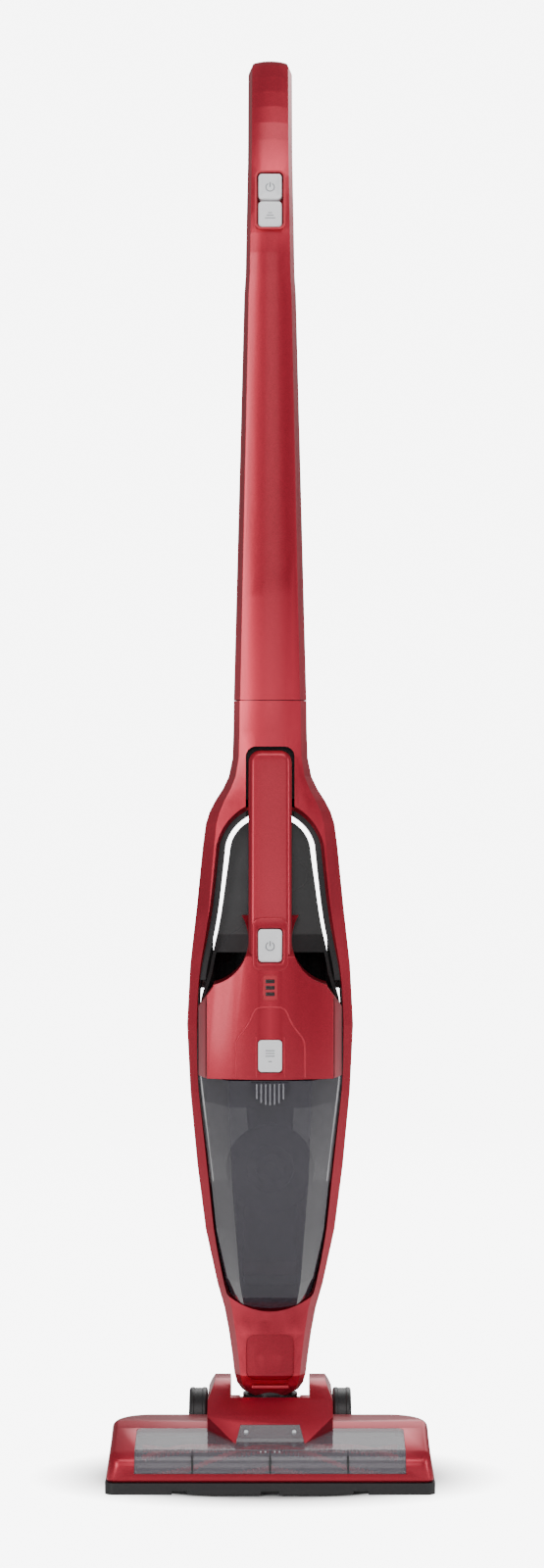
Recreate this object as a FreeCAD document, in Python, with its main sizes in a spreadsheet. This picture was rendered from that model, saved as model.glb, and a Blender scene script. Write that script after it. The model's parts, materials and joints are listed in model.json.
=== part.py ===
"""Cordless stick vacuum with a lift-out hand unit.

Millimetres.  +Z is up, the machine faces -Y, and +X is to its left as it stands.
The origin lies on the floor, in the middle of the machine's box.  The stick's own
axis is the line x = 0, y = 0 up to the bend of the grip.
"""
import FreeCAD, Part
import Sketcher
import math
import os

V = FreeCAD.Vector
doc = FreeCAD.newDocument("stick_vacuum")

# ---------------------------------------------------------------- driving dimensions
DIMENSIONS = [
    ("split_y", 8), ("shell_wall", 2.4), ("running_gap", 0.05),
    # stick and grip
    ("seam_z", 624), ("seam_gap", 0.6), ("bend_start_z", 950.2), ("bend_radius", 300.6),
    ("bend_angle", 40.7), ("grip_half", 18), ("grip_depth", 34), ("seam_half", 29.2),
    ("seam_depth", 46), ("grip_end_radius", 11),
    ("switch_angle", 13.8), ("switch_half", 10.6), ("switch_half_height", 23.7),
    ("stick_key_width", 19.2), ("stick_key_height", 22.3), ("key_travel", 1.5),
    # frame loop
    ("frame_bottom_z", 66), ("frame_front_y", -21), ("frame_rear_y", 28),
    ("liner_front_y", -14),
    ("duct_wall_y", 6), ("duct_wall_top", 235), ("port_z", 187), ("port_radius", 13),
    ("recess_half", 19.5), ("recess_top", 587),
    # neck joints
    ("swivel_y", 4), ("spigot_radius", 18), ("spigot_bore", 14.2), ("spigot_top", 110),
    ("tilt_y", 20), ("tilt_z", 38), ("knuckle_radius", 22), ("knuckle_half", 29),
    ("pin_radius", 4),
    # hand unit
    ("hand_front_y", -62), ("hand_half", 57), ("mouth_z", 323.6), ("mouth_slope", 4),
    ("hand_split_y", -2), ("hand_rear_y", 35), ("handle_half", 17.2), ("handle_depth", 24),
    ("handle_top", 584), ("hand_key_width", 19.1), ("hand_key_height", 26.2),
    ("hand_key_z", 429.5), ("release_key_height", 25.5), ("release_key_z", 342.6),
    ("motor_radius", 21), ("motor_y", -14), ("motor_low", 352), ("motor_top", 396),
    ("impeller_radius", 24), ("cell_radius", 9.1), ("cell_length", 65), ("cell_y", 18),
    ("cell_low", 445), ("charge_bore", 2.75), ("charge_depth", 9), ("charge_z", 352),
    # dust cup
    ("cup_wall", 2), ("cup_bottom", 140.5), ("disc_radius", 35), ("disc_z", 252),
    # floor nozzle
    ("nozzle_width", 259), ("nozzle_front_y", -82), ("nozzle_rear_y", 14),
    ("bumper_low", 1), ("bumper_top", 10), ("nozzle_wall", 2.5), ("window_half", 106.5),
    ("window_low", 17.4), ("window_rear_y", -25.5), ("brush_y", -52), ("brush_z", 19.5),
    ("brush_core", 9), ("bristle_radius", 15.5), ("brush_half", 103), ("slot_half", 105),
    ("cradle_half", 45), ("cradle_slot", 34.5), ("horn_top", 76.5),
    ("wheel_radius", 31.5), ("wheel_width", 15), ("wheel_x", 58.5), ("wheel_y", 46.5),
    ("roller_radius", 4), ("roller_width", 10), ("roller_x", 60), ("roller_y", -75),
    ("brush_motor_y", -8), ("brush_motor_z", 27), ("pulley_x", 111),
    ("pulley_width", 6), ("small_pulley", 6), ("large_pulley", 11),
]
sheet = doc.addObject("Spreadsheet::Sheet", "size")
for row, (name, value) in enumerate(DIMENSIONS, start=1):
    sheet.set(f"A{row}", name)
    sheet.set(f"B{row}", str(value))
    sheet.setAlias(f"B{row}", name)
doc.recompute()

NODES = []


def dim(name):
    """A driving dimension, in millimetres or degrees."""
    return float(sheet.get(name))


def keep(obj, label):
    """Name a finished sub-part and list it for the export."""
    obj.Label = label
    NODES.append(obj)
    return obj


def shaped(label, shape):
    """A sub-part whose form only Part's own functions can make."""
    obj = doc.addObject("Part::Feature", label)
    place = shape.Placement
    obj.Shape = shape
    obj.Placement = place
    return keep(obj, label)


def bind(obj, **expressions):
    """Bind properties to the sheet; two underscores stand for a dot."""
    for prop, text in expressions.items():
        obj.setExpression(prop.replace("__", "."), text)
    return obj


def block(x0, x1, y0, y1, z0, z1):
    return Part.makeBox(x1 - x0, y1 - y0, z1 - z0, V(x0, y0, z0))


def rod(radius, start, end):
    """A round bar from one point to another."""
    run = V(*end) - V(*start)
    return Part.makeCylinder(radius, run.Length, V(*start), run)


def polygon(points):
    return Part.makePolygon([V(*p) for p in points] + [V(*points[0])])


def along_x(points, half):
    """Extrude a (y, z) polygon evenly to both sides of x = 0."""
    face = Part.Face(polygon([(-half, y, z) for y, z in points]))
    return face.extrude(V(2 * half, 0, 0))


def spline(points):
    curve = Part.BSplineCurve()
    curve.interpolate([V(*p) for p in points])
    return curve.toShape()


def arc(a, b, c):
    return Part.Arc(V(*a), V(*b), V(*c)).toShape()


def line(a, b):
    return Part.LineSegment(V(*a), V(*b)).toShape()


def axis_frame(angle):
    """Place of the grip's cross-section where the bend has turned by angle."""
    turn = math.radians(angle)
    radius = dim("bend_radius")
    place = V(0, radius * (1 - math.cos(turn)), dim("bend_start_z") + radius * math.sin(turn))
    return FreeCAD.Placement(place, FreeCAD.Rotation(V(1, 0, 0), -angle))


def stacked(wires):
    """A solid through a stack of matching outlines."""
    return Part.makeLoft(wires, True, True)


def crowned(place, half, crease, front, rear, crown, shoulder):
    """Shell cross-section: crowned front, two side facets and a rounded back."""
    side = rear - 0.62 * (rear - shoulder)
    back = []
    for step in range(13):
        angle = math.pi * step / 12
        x = half * abs(math.cos(angle)) ** 0.8 * (1 if step <= 6 else -1)
        back.append((x, side + (rear - side) * math.sin(angle) ** 0.8, 0))
    edges = [
        arc((-crease, front + crown, 0), (0, front, 0), (crease, front + crown, 0)),
        line((crease, front + crown, 0), (half, shoulder, 0)),
        line((half, shoulder, 0), (half, side, 0)),
        spline(back),
        line((-half, side, 0), (-half, shoulder, 0)),
        line((-half, shoulder, 0), (-crease, front + crown, 0)),
    ]
    wire = Part.Wire(edges)
    wire.Placement = place
    return wire


def level(z):
    """Place of a horizontal cross-section."""
    return FreeCAD.Placement(V(0, 0, z), FreeCAD.Rotation())


def drill(shape, tools):
    for tool in tools:
        shape = shape.cut(tool)
    return shape


def mirrored(shape):
    return shape.mirror(V(0, 0, 0), V(1, 0, 0))


def both(shape):
    """The shape and its mirror image as two solids of one sub-part."""
    return Part.makeCompound([shape, mirrored(shape)])


# ---------------------------------------------------------------- PartDesign pieces
def origin_plane(body, role):
    return next(f for f in body.Origin.OriginFeatures if f.Role == role)


def ring_body(label, outer, inner, length, plane, centre):
    """A round piece: one or two circles padded both ways from an origin plane."""
    body = doc.addObject("PartDesign::Body", label + "_body")
    sketch = body.newObject("Sketcher::SketchObject", label + "_sketch")
    sketch.AttachmentSupport = (origin_plane(body, plane), [""])
    sketch.MapMode = "FlatFace"
    for number, (name, size) in enumerate((("outer_radius", outer), ("inner_radius", inner))):
        if size is None:
            continue
        sketch.addGeometry(Part.Circle(V(0, 0, 0), V(0, 0, 1), 5 + number), False)
        sketch.addConstraint(Sketcher.Constraint("Coincident", number, 3, -1, 1))
        at = sketch.addConstraint(Sketcher.Constraint("Radius", number, 5.0 + number))
        sketch.renameConstraint(at, name)
        sketch.setExpression("Constraints." + name, size)
    pad = body.newObject("PartDesign::Pad", label + "_pad")
    pad.Profile = sketch
    pad.Midplane = True
    pad.setExpression("Length", length)
    body.Tip = pad
    for key, text in zip("xyz", centre):
        body.setExpression("Placement.Base." + key, text)
    return keep(body, label)


def key_body(label, width, height, depth, corner):
    """A push button: a rectangle padded and rounded at its four corners."""
    body = doc.addObject("PartDesign::Body", label + "_body")
    sketch = body.newObject("Sketcher::SketchObject", label + "_sketch")
    sketch.AttachmentSupport = (origin_plane(body, "XZ_Plane"), [""])
    sketch.MapMode = "FlatFace"
    corners = [(-5, -6), (5, -6), (5, 6), (-5, 6)]
    for number, start in enumerate(corners):
        end = corners[(number + 1) % 4]
        sketch.addGeometry(Part.LineSegment(V(*start, 0), V(*end, 0)), False)
    for number in range(4):
        sketch.addConstraint(Sketcher.Constraint("Coincident", number, 2, (number + 1) % 4, 1))
    for number, kind in enumerate(("Horizontal", "Vertical", "Horizontal", "Vertical")):
        sketch.addConstraint(Sketcher.Constraint(kind, number))
    sketch.addConstraint(Sketcher.Constraint("Symmetric", 0, 1, 1, 2, -1, 1))
    wide = sketch.addConstraint(Sketcher.Constraint("DistanceX", 0, 1, 0, 2, 10))
    tall = sketch.addConstraint(Sketcher.Constraint("DistanceY", 1, 1, 1, 2, 12))
    sketch.renameConstraint(wide, "key_wide")
    sketch.renameConstraint(tall, "key_tall")
    sketch.setExpression("Constraints.key_wide", width)
    sketch.setExpression("Constraints.key_tall", height)
    pad = body.newObject("PartDesign::Pad", label + "_pad")
    pad.Profile = sketch
    pad.setExpression("Length", depth)
    doc.recompute()
    upright = []
    for number, edge in enumerate(pad.Shape.Edges, start=1):
        run = edge.Vertexes[1].Point - edge.Vertexes[0].Point
        if abs(run.y) > 0.9 * run.Length:
            upright.append(f"Edge{number}")
    fillet = body.newObject("PartDesign::Fillet", label + "_corners")
    fillet.Base = (pad, upright)
    fillet.Radius = corner
    body.Tip = fillet
    doc.recompute()
    front = body.Shape.BoundBox.YMin
    return keep(body, label), front


# ---------------------------------------------------------------- stick (upper tube)
def stick_stations(inset):
    """Cross-sections from the seam to the rounded end of the grip."""
    sections = []
    start = dim("seam_z") + dim("seam_gap") / 2
    bend = dim("bend_start_z")
    grip = dim("grip_half")
    for share in (0, 1):
        z = start + share * (bend - start)
        half = dim("seam_half") + share * (20.8 - dim("seam_half"))
        depth = dim("seam_depth") + share * (37 - dim("seam_depth"))
        sections.append((level(z), half, depth))
    for turn in range(3, 38, 3):
        depth = dim("grip_depth") + max(0, 22 - turn) / 22 * 3
        half = grip + max(0, 22 - turn) / 22 * 2
        sections.append((axis_frame(turn), half, depth))
    end_round = dim("grip_end_radius")
    for back in (1, 0.6, 0.3, 0.1, 0):
        drop = end_round * (1 - math.sqrt(1 - (1 - back) ** 2))
        angle = dim("bend_angle") - math.degrees(back * end_round / dim("bend_radius"))
        sections.append((axis_frame(angle), grip - drop, dim("grip_depth") - 2 * drop))
    wires = []
    for place, half, depth in sections:
        front = -depth * 0.46 + inset
        rear = depth * 0.54 - inset
        wires.append(crowned(place, half - inset, 0.82 * half - inset, front, rear,
                             0.07 * depth, front + 0.33 * depth))
    return wires


def stick_front_half():
    """Everything ahead of the parting line, which follows the bend."""
    part_y = dim("split_y")
    radius = dim("bend_radius") - part_y
    low = dim("seam_z") - 10
    bend = dim("bend_start_z")
    mid = math.radians(25)
    end = math.radians(50)
    centre_y = dim("bend_radius")

    def on_bend(angle):
        return (-60, centre_y - radius * math.cos(angle), bend + radius * math.sin(angle))
    edges = [
        line((-60, -80, low), (-60, part_y, low)),
        line((-60, part_y, low), (-60, part_y, bend)),
        arc((-60, part_y, bend), on_bend(mid), on_bend(end)),
        line(on_bend(end), (-60, -80, 1300)),
        line((-60, -80, 1300), (-60, -80, low)),
    ]
    return Part.Face(Part.Wire(edges)).extrude(V(120, 0, 0))


stick_outer = stacked(stick_stations(0))
stick_hollow = stacked(stick_stations(dim("shell_wall"))[:-2])
stick_shell = stick_outer.cut(stick_hollow)
stick_front = stick_shell.common(stick_front_half())
stick_rear = stick_shell.cut(stick_front_half())

# The switch sits in a recess that is square to the bent axis.
switch_place = axis_frame(dim("switch_angle"))
switch_front = -dim("grip_depth") * 0.46 - 1.4


def at_switch(shape):
    shape.Placement = switch_place.multiply(shape.Placement)
    return shape


reach = dim("switch_half")
tall = dim("switch_half_height")
recess = block(-reach, reach, switch_front - 8, switch_front + 7.6, -tall, tall)
recess = recess.makeFillet(4, [e for e in recess.Edges if abs(e.tangentAt(0).y) > 0.9])
bezel = block(-reach - 1.6, reach + 1.6, switch_front - 1.4, switch_front + 8.5,
              -tall - 1.6, tall + 1.6)
bezel = bezel.makeFillet(5, [e for e in bezel.Edges if abs(e.tangentAt(0).y) > 0.9])
bezel_hole = at_switch(bezel.copy())
bezel = at_switch(bezel.cut(recess))
for low, high in ((0.6, tall - 1.2), (1.2 - tall, -0.6)):
    well = block(-8, 8, switch_front + 6, switch_front + 9, low + 3, high - 3)
    bezel = bezel.cut(at_switch(well))
stick_front = stick_front.cut(bezel_hole)
shaped("stick_front_shell", stick_front)
shaped("switch_bezel", bezel)

# Soft pad let into the back of the grip.
pad_zone = Part.makeBox(26, 60, 118, V(-13, 0, 0))
pad_zone.Placement = axis_frame(14)
pad_skin = stick_outer.cut(stacked(stick_stations(1.2)[:-1]))
grip_pad = pad_skin.common(pad_zone).cut(stick_front_half())
shaped("grip_pad", grip_pad)
shaped("stick_rear_shell", stick_rear.cut(grip_pad))

for label, middle in (("stick_power_button", 12.0), ("stick_level_button", -12.0)):
    key, front = key_body(label, "size.stick_key_width", "size.stick_key_height",
                          "size.key_travel * 4", 3)
    seat = FreeCAD.Placement(V(0, switch_front - 0.4 - front, middle), FreeCAD.Rotation())
    key.Placement = switch_place.multiply(seat)

board = block(-10, 10, switch_front + 9, switch_front + 10.6, -tall, tall)
shaped("stick_switch_board", at_switch(board))

# Moulded spigot that joins the stick to the frame across the seam.
joint_half = dim("seam_half") - dim("shell_wall") - 0.4
seam = dim("seam_z")
spigot_wires = []
hollow_wires = []
for z in (seam - 18, seam + 18):
    for wires, inset in ((spigot_wires, 0), (hollow_wires, 2.5)):
        wires.append(crowned(level(z), joint_half - 1.5 - inset, 20 - inset, -17 + inset,
                             20 - inset, 3, -4))
spigot = stacked(spigot_wires).cut(stacked(hollow_wires))
shaped("stick_spigot", spigot)

# Two-core lead from the switch board down the stick.
lead = bind(doc.addObject("Part::Cylinder", "lead"), Height="size.bend_start_z - size.seam_z + 15")
lead.Radius = 2
bind(lead, Placement__Base__z="size.seam_z - 15")
keep(lead, "stick_lead")

# ---------------------------------------------------------------- frame loop
FRAME_OUTLINE = [
    (623.7, 29.2), (600, 29.5), (578, 30.2), (563, 33.2), (553, 38), (544, 43.8),
    (535, 48.5), (525, 51.7), (506, 54.2), (460, 58.8), (412, 64.2), (364, 66.7),
    (310, 64), (251, 58.4), (200, 51.8), (156, 42.2), (137, 36.7), (118, 33.1), (99, 30.4),
    (84, 28.6), (76, 26.5), (70, 22.5), (66.6, 16),
]


def frame_sections(inset):
    wires = []
    for z, half in FRAME_OUTLINE:
        neck = max(0, (z - 540) / 84)
        foot = max(0, (84 - z) / 18)
        front = dim("frame_front_y") - 2.5 * (1 - neck) * (1 - foot) + 9 * foot + inset
        rear = dim("frame_rear_y") - 3.2 * neck - 9 * foot - inset
        wires.append(crowned(level(z), half - inset, 0.83 * half - inset, front, rear,
                             3.5 - foot, front + 15 - 3 * foot))
    return wires


def opening_outline(inset, y):
    """Outline of the frame's opening, seen from the front, at depth y."""
    side = [
        (40.5, 508), (43.6, 478), (48.9, 440), (54.6, 412), (57.4, 388), (58.1, 364),
        (57.9, 323), (53.3, 282), (48.3, 241), (44.3, 202), (37, 162), (33.4, 149),
    ]
    right = [(x - inset, y, z) for x, z in side]
    left = [(-x, y, z) for x, y, z in reversed(right)]
    edges = [
        spline(right),
        arc(right[-1], (0, y, 139.5 + inset), left[0]),
        spline(left),
        arc(left[-1], (0, y, 540 - inset), right[0]),
    ]
    return Part.Wire(edges)


def through_opening(inset, y0=-60, y1=60):
    return Part.Face(opening_outline(inset, y0)).extrude(V(0, y1 - y0, 0))


def rear_opening():
    """The opening through the black liner: tight below, stepped in above."""
    high = through_opening(4.5).common(block(-90, 90, -60, 60, 400, 560))
    low = through_opening(1.2).common(block(-90, 90, -60, 60, 130, 400.01))
    return high.fuse(low)


frame_outer = stacked(frame_sections(0))
frame_cavity = stacked(frame_sections(dim("shell_wall")))
frame_cavity = frame_cavity.cut(through_opening(-dim("shell_wall")))
frame_cavity = frame_cavity.common(block(-90, 90, -60, 60, 150, 640))
opening = through_opening(0)
back_opening = rear_opening()
bevel = Part.makeLoft([opening_outline(-7, -30), opening_outline(0, -15)], True, True)
bore = rod(dim("spigot_radius") + dim("running_gap"), (0, dim("swivel_y"), 60),
           (0, dim("swivel_y"), 134))
air_channel = block(-17.5, 17.5, dim("duct_wall_y") + 3.2, 22, 125, 150)
high_recess = block(-dim("recess_half"), dim("recess_half"), -60, -1, 520, dim("recess_top"))
high_recess = high_recess.makeFillet(8, [e for e in high_recess.Edges
                                         if abs(e.tangentAt(0).y) > 0.9 and e.BoundBox.ZMin > 580])
liner = block(-dim("recess_half") - 1.6, dim("recess_half") + 1.6, -16, 1, 545,
              dim("recess_top") + 1.6)
ahead = block(-90, 90, -90, dim("split_y"), 40, 640)
frame_front = drill(frame_outer.common(ahead), [opening, bevel, frame_cavity, bore, high_recess,
                                                liner, spigot, rod(2.1, (0, 0, 600), (0, 0, 640))])

# Clearance for the cup's lower edge as it tips out along its sloping way.
cup_way = through_opening(0).common(block(-60, 60, -60, -8, 130, 160))
cup_way.translate(V(0, 0, -1.2))
frame_front = frame_front.cut(cup_way)

inner_wall = opening.cut(back_opening).common(frame_outer)
inner_wall = inner_wall.common(block(-90, 90, dim("liner_front_y"), dim("split_y") + 1, 400, 560))
wall_y = dim("duct_wall_y")
wall_top = dim("duct_wall_top")
duct_wall = back_opening.common(block(-90, 90, wall_y, wall_y + 3, 130, wall_top))
duct_roof = back_opening.common(block(-90, 90, wall_y, dim("frame_rear_y"), wall_top - 3, wall_top))
duct_roof = duct_roof.common(frame_outer)
frame_rear = frame_outer.cut(ahead)
frame_rear = drill(frame_rear, [back_opening, frame_cavity])
frame_rear = frame_rear.fuse([inner_wall, duct_wall, duct_roof]).removeSplitter()
port = rod(dim("port_radius"), (0, 0, dim("port_z")), (0, 40, dim("port_z")))
frame_rear = drill(frame_rear, [bore, air_channel, liner, spigot, port, high_recess])

# Embossed shield and grip bar on the lower front cover.
shield = block(-19, 19, -26, -18, 80.5, 117)
shield = shield.makeFillet(7, [e for e in shield.Edges if abs(e.tangentAt(0).y) > 0.9])
shield_depth = frame_outer.cut(stacked(frame_sections(1.0)))
frame_front = frame_front.cut(shield_depth.common(shield))
shaped("frame_front_shell", frame_front)

back_panel = frame_outer.cut(stacked(frame_sections(3)))
back_panel = back_panel.common(through_opening(1.4)).common(
    block(-90, 90, wall_y + 3, 60, 130, wall_top - 3))
panel_screws = []
for x, z in ((20, 222), (-20, 222), (26, 160), (-26, 160)):
    panel_screws.append(rod(2.6, (x, 25.5, z), (x, 30, z)).fuse(
        rod(1.3, (x, wall_y + 3, z), (x, 25.6, z))))
    back_panel = back_panel.cut(panel_screws[-1])
shaped("frame_back_panel", back_panel)
shaped("back_panel_screws", Part.makeCompound(panel_screws))
shaped("frame_rear_shell", frame_rear)
shaped("handle_recess_liner", liner.cut(high_recess).cut(back_opening).common(frame_outer))

duct_low = 143
duct = block(-19, 19, wall_y + 3.2, 22, duct_low, 205)
duct = duct.cut(block(-17.5, 17.5, wall_y + 4.7, 20.5, duct_low - 1, 203.5))
duct = duct.cut(rod(dim("port_radius"), (0, 0, dim("port_z")), (0, 15, dim("port_z"))))
duct = duct.cut(frame_rear)
shaped("frame_air_duct", duct)

ring_body("duct_seal", "size.port_radius + 4", "size.port_radius", "1", "XZ_Plane",
          ("0", "size.duct_wall_y - 0.5", "size.port_z"))

# ---------------------------------------------------------------- neck
axis_y = dim("tilt_y")
axis_z = dim("tilt_z")
half = dim("knuckle_half")
swivel_y = dim("swivel_y")
knuckle = rod(dim("knuckle_radius"), (-half, axis_y, axis_z), (half, axis_y, axis_z))
collar = rod(22, (0, swivel_y + 3, 44), (0, swivel_y + 3, 65.8))
knuckle = knuckle.fuse([collar.common(block(-30, 30, -30, 40, 44, 65.8)),
                        rod(dim("spigot_radius"), (0, swivel_y, 50),
                            (0, swivel_y, dim("spigot_top")))])
knuckle = knuckle.cut(rod(dim("spigot_bore"), (0, swivel_y, 42), (0, swivel_y, 120)))
knuckle = knuckle.cut(rod(11, (0, -20, 30), (0, 12, 44)))
pin = dim("pin_radius")
for side in (-1, 1):
    knuckle = knuckle.cut(rod(pin + dim("running_gap"), (side * 20, axis_y, axis_z),
                              (side * 31, axis_y, axis_z)))
shaped("neck_knuckle", knuckle)

# ---------------------------------------------------------------- hand unit
def plan_prism(inset, low, high):
    """Upright prism of the hand unit: crowned front, side facets, rounded back."""
    side = dim("hand_half") - inset
    front = dim("hand_front_y") + inset
    rear = dim("hand_rear_y") - inset
    crease = 34 - 0.5 * inset
    edges = [
        arc((-crease, front + 2.5, low), (0, front, low), (crease, front + 2.5, low)),
        line((crease, front + 2.5, low), (side, -24, low)),
        line((side, -24, low), (side, 4, low)),
        line((side, 4, low), (side - 9, 20 - inset, low)),
        arc((side - 9, 20 - inset, low), (0, rear, low), (9 - side, 20 - inset, low)),
        line((9 - side, 20 - inset, low), (-side, 4, low)),
        line((-side, 4, low), (-side, -24, low)),
        line((-side, -24, low), (-crease, front + 2.5, low)),
    ]
    return Part.Face(Part.Wire(edges)).extrude(V(0, 0, high - low))


def front_prism(right, y0, y1):
    """Extrude along Y the shape whose right half runs through (x, z) points."""
    curve = [(x, y0, z) for x, z in right]
    back = [(-x, y0, z) for x, z in reversed(right)]
    foot = 300
    edges = [
        spline(curve),
        line(curve[-1], back[0]),
        spline(back),
        line(back[-1], (back[-1][0], y0, foot)),
        line((back[-1][0], y0, foot), (curve[0][0], y0, foot)),
        line((curve[0][0], y0, foot), curve[0]),
    ]
    return Part.Face(Part.Wire(edges)).extrude(V(0, y1 - y0, 0))


def hood_outline(inset):
    """Red hood: straight sides and concave shoulders rising to the grip bar."""
    side = dim("hand_half") - inset
    right = [(side, 384 - inset), (53 - inset, 392 - inset), (40 - inset, 400.5 - inset),
             (28 - inset, 409 - inset), (20.5 - 0.5 * inset, 419 - inset),
             (dim("handle_half"), 436 - inset)]
    return front_prism(right, -90, dim("hand_split_y"))


def rear_outline(inset):
    """Black rear body, narrowing to an arch behind the grip bar."""
    right = [(56.2, 376), (54.6, 388), (50.8, 400), (46.8, 418), (41.8, 440), (36, 478),
             (33, 500), (31, 511), (26, 519.5), (17, 526.5)]
    return front_prism([(x - inset, z - 0.5 * inset) for x, z in right], -90, 90)


def mouth_plane(drop):
    """Everything above the parting plane between the hand unit and the cup."""
    slope = math.tan(math.radians(dim("mouth_slope")))
    low = dim("mouth_z") - drop
    front = low - 28 * slope
    rear = low + 122 * slope
    return along_x([(-90, front), (60, rear), (60, 700), (-90, 700)], 90)


def handle_bar(inset):
    """The grip bar, sweeping back from the hood to its rounded top end."""
    reach = dim("handle_half") - inset
    top = dim("handle_top") - inset
    front = [(-58, 424), (-54.5, 460), (-47, 495), (-38, 530), (-31, 560), (-25, top)]
    rear = [(-4, top), (-8, 556), (-14, 530), (-23, 495), (-30.5, 460), (-34, 424)]
    ahead = [(-reach, y + inset, z) for y, z in front]
    behind = [(-reach, y - inset, z) for y, z in rear]
    edges = [spline(ahead), line(ahead[-1], behind[0]), spline(behind), line(behind[-1], ahead[0])]
    bar = Part.Face(Part.Wire(edges)).extrude(V(2 * reach, 0, 0))
    if inset:
        return bar
    end = block(-reach, reach, -90, 20, 400, top)
    end = end.makeFillet(8, [e for e in end.Edges
                             if abs(e.tangentAt(0).y) > 0.9 and e.BoundBox.ZMin > 500])
    long_edges = [e for e in bar.Edges if e.BoundBox.ZLength > 100 and e.BoundBox.YMax < -20]
    return bar.makeFillet(5, long_edges).common(end)


wall = dim("shell_wall")
above_mouth = mouth_plane(0)
ahead = block(-90, 90, -90, dim("hand_split_y"), 200, 700)
hood_outer = plan_prism(0, 310, 440).common(hood_outline(0))
bar = handle_bar(0)
bar_hollow = handle_bar(2.6).common(block(-90, 90, -90, 20, 446, 600))
hood_inner = plan_prism(wall, 300, 401).common(hood_outline(3.4)).common(ahead)
hood = hood_outer.fuse(bar).common(above_mouth).cut(hood_inner)


def front_pocket(width, height, z, depth, front):
    """Rounded pocket for a push button."""
    box = block(-width / 2, width / 2, front - 12, front + depth, z - height / 2, z + height / 2)
    return box.makeFillet(3.2, [e for e in box.Edges if abs(e.tangentAt(0).y) > 0.9])


gap = 0.3
power_front = -58.6
power_pocket = front_pocket(dim("hand_key_width") + 2 * gap, dim("hand_key_height") + 2 * gap,
                            dim("hand_key_z"), 8.5, power_front)
bezel_block = front_pocket(dim("hand_key_width") + 9.6, 42, dim("hand_key_z") + 1, 12, power_front)
bezel_block = bezel_block.common(block(-20, 20, power_front - 1.2, 0, 400, 460))
release_front = -62
release_pocket = front_pocket(dim("hand_key_width") + 2 * gap, dim("release_key_height") + 2 * gap,
                              dim("release_key_z"), 8.5, release_front)
release_box = front_pocket(dim("hand_key_width") + 4, dim("release_key_height") + 4,
                           dim("release_key_z"), 10, release_front)
release_box = release_box.common(block(-20, 20, -60.5, -50, 326, 360))
hood = drill(hood.fuse([bezel_block, release_box]), [power_pocket, release_pocket, bar_hollow])
gauge = block(-5.5, 5.5, dim("hand_front_y") - 1, dim("hand_front_y") + 1.2, 387, 406)
gauge = gauge.common(hood_outer)
hood = hood.cut(gauge)
power_key, front = key_body("hand_power_button", "size.hand_key_width",
                            "size.hand_key_height", "size.key_travel * 4", 3)
power_key.Placement.Base = V(0, power_front - 1.4 - front, dim("hand_key_z"))
release_key, front = key_body("cup_release_button", "size.hand_key_width",
                              "size.release_key_height", "size.key_travel * 4", 3)
release_key.Placement.Base = V(0, release_front - 0.9 - front, dim("release_key_z"))


def rear_side(inset):
    """Side profile of the rear body: its front face slopes back above the hood."""
    split = dim("hand_split_y")
    face = inset if inset else 0
    return along_x([(split - 10 * inset, 300), (split - 10 * inset, 436 - 6 * inset),
                    (split + face, 436 - 6 * inset), (6 + face, 512), (8 + face, 532 - inset),
                    (60, 532 - inset), (60, 300)], 90)


body_outer = plan_prism(0.8, 310, 530).common(rear_outline(0)).common(rear_side(0))
body_hollow = plan_prism(wall + 0.8, 300, 528).common(rear_outline(wall)).common(rear_side(wall))
body = body_outer.common(above_mouth).cut(body_hollow)
bridge = block(-12, 12, -22, 8, 512, 526).cut(bar)
body = body.fuse(bridge)
charge_z = dim("charge_z")
socket_hole = rod(5.5, (0, 20, charge_z), (0, 40, charge_z))
grille_zone = block(-24, 24, 20, 40, 374, 412)
grille = body_outer.cut(body_hollow).common(grille_zone)
body = drill(body, [socket_hole, grille_zone])
for step in range(6):
    slot_z = 378 + 6 * step
    grille = grille.cut(block(-20, 20, 20, 40, slot_z, slot_z + 2.6))
hand_screws = []
for x, z, head_y in ((22, 434, 29), (-22, 434, 29), (40, 346, 19.5), (-40, 346, 19.5)):
    screw = rod(2.8, (x, head_y, z), (x, head_y + 3, z)).fuse(
        rod(1.4, (x, head_y - 12, z), (x, head_y + 0.2, z)))
    hand_screws.append(screw)
    body = drill(body, [rod(2.8, (x, head_y, z), (x, 45, z)), screw])
shaped("hand_hood", hood)
shaped("battery_gauge", gauge)
shaped("hand_rear_shell", body)
shaped("exhaust_grille", grille)
shaped("hand_screws", Part.makeCompound(hand_screws))
ring_body("charge_socket", "5.5", "size.charge_bore", "size.charge_depth", "XZ_Plane",
          ("0", "size.hand_rear_y - 0.9 - size.charge_depth / 2", "size.charge_z"))

cells = []
for x in (-19, 0, 19):
    cell = doc.addObject("Part::Cylinder", "cell")
    bind(cell, Radius="size.cell_radius", Height="size.cell_length",
         Placement__Base__y="size.cell_y", Placement__Base__z="size.cell_low")
    cell.Placement.Base.x = x
    cells.append(cell)
pack = doc.addObject("Part::Compound", "battery_cells")
pack.Links = cells
keep(pack, "battery_cells")
motor = doc.addObject("Part::Cylinder", "motor_can")
bind(motor, Radius="size.motor_radius", Height="size.motor_top - size.motor_low",
     Placement__Base__y="size.motor_y", Placement__Base__z="size.motor_low")
shaft_hole = doc.addObject("Part::Cylinder", "motor_bore")
shaft_hole.Radius = 2.05
shaft_hole.Height = 20
bind(shaft_hole, Placement__Base__y="size.motor_y", Placement__Base__z="size.motor_low - 1")
fan_motor = doc.addObject("Part::Cut", "fan_motor")
fan_motor.Base = motor
fan_motor.Tool = shaft_hole
keep(fan_motor, "fan_motor")
ring_body("motor_mount", "size.motor_radius + 4", "size.motor_radius", "8", "XY_Plane",
          ("0", "size.motor_y", "size.motor_top - 12"))
motor_y = dim("motor_y")
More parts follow.
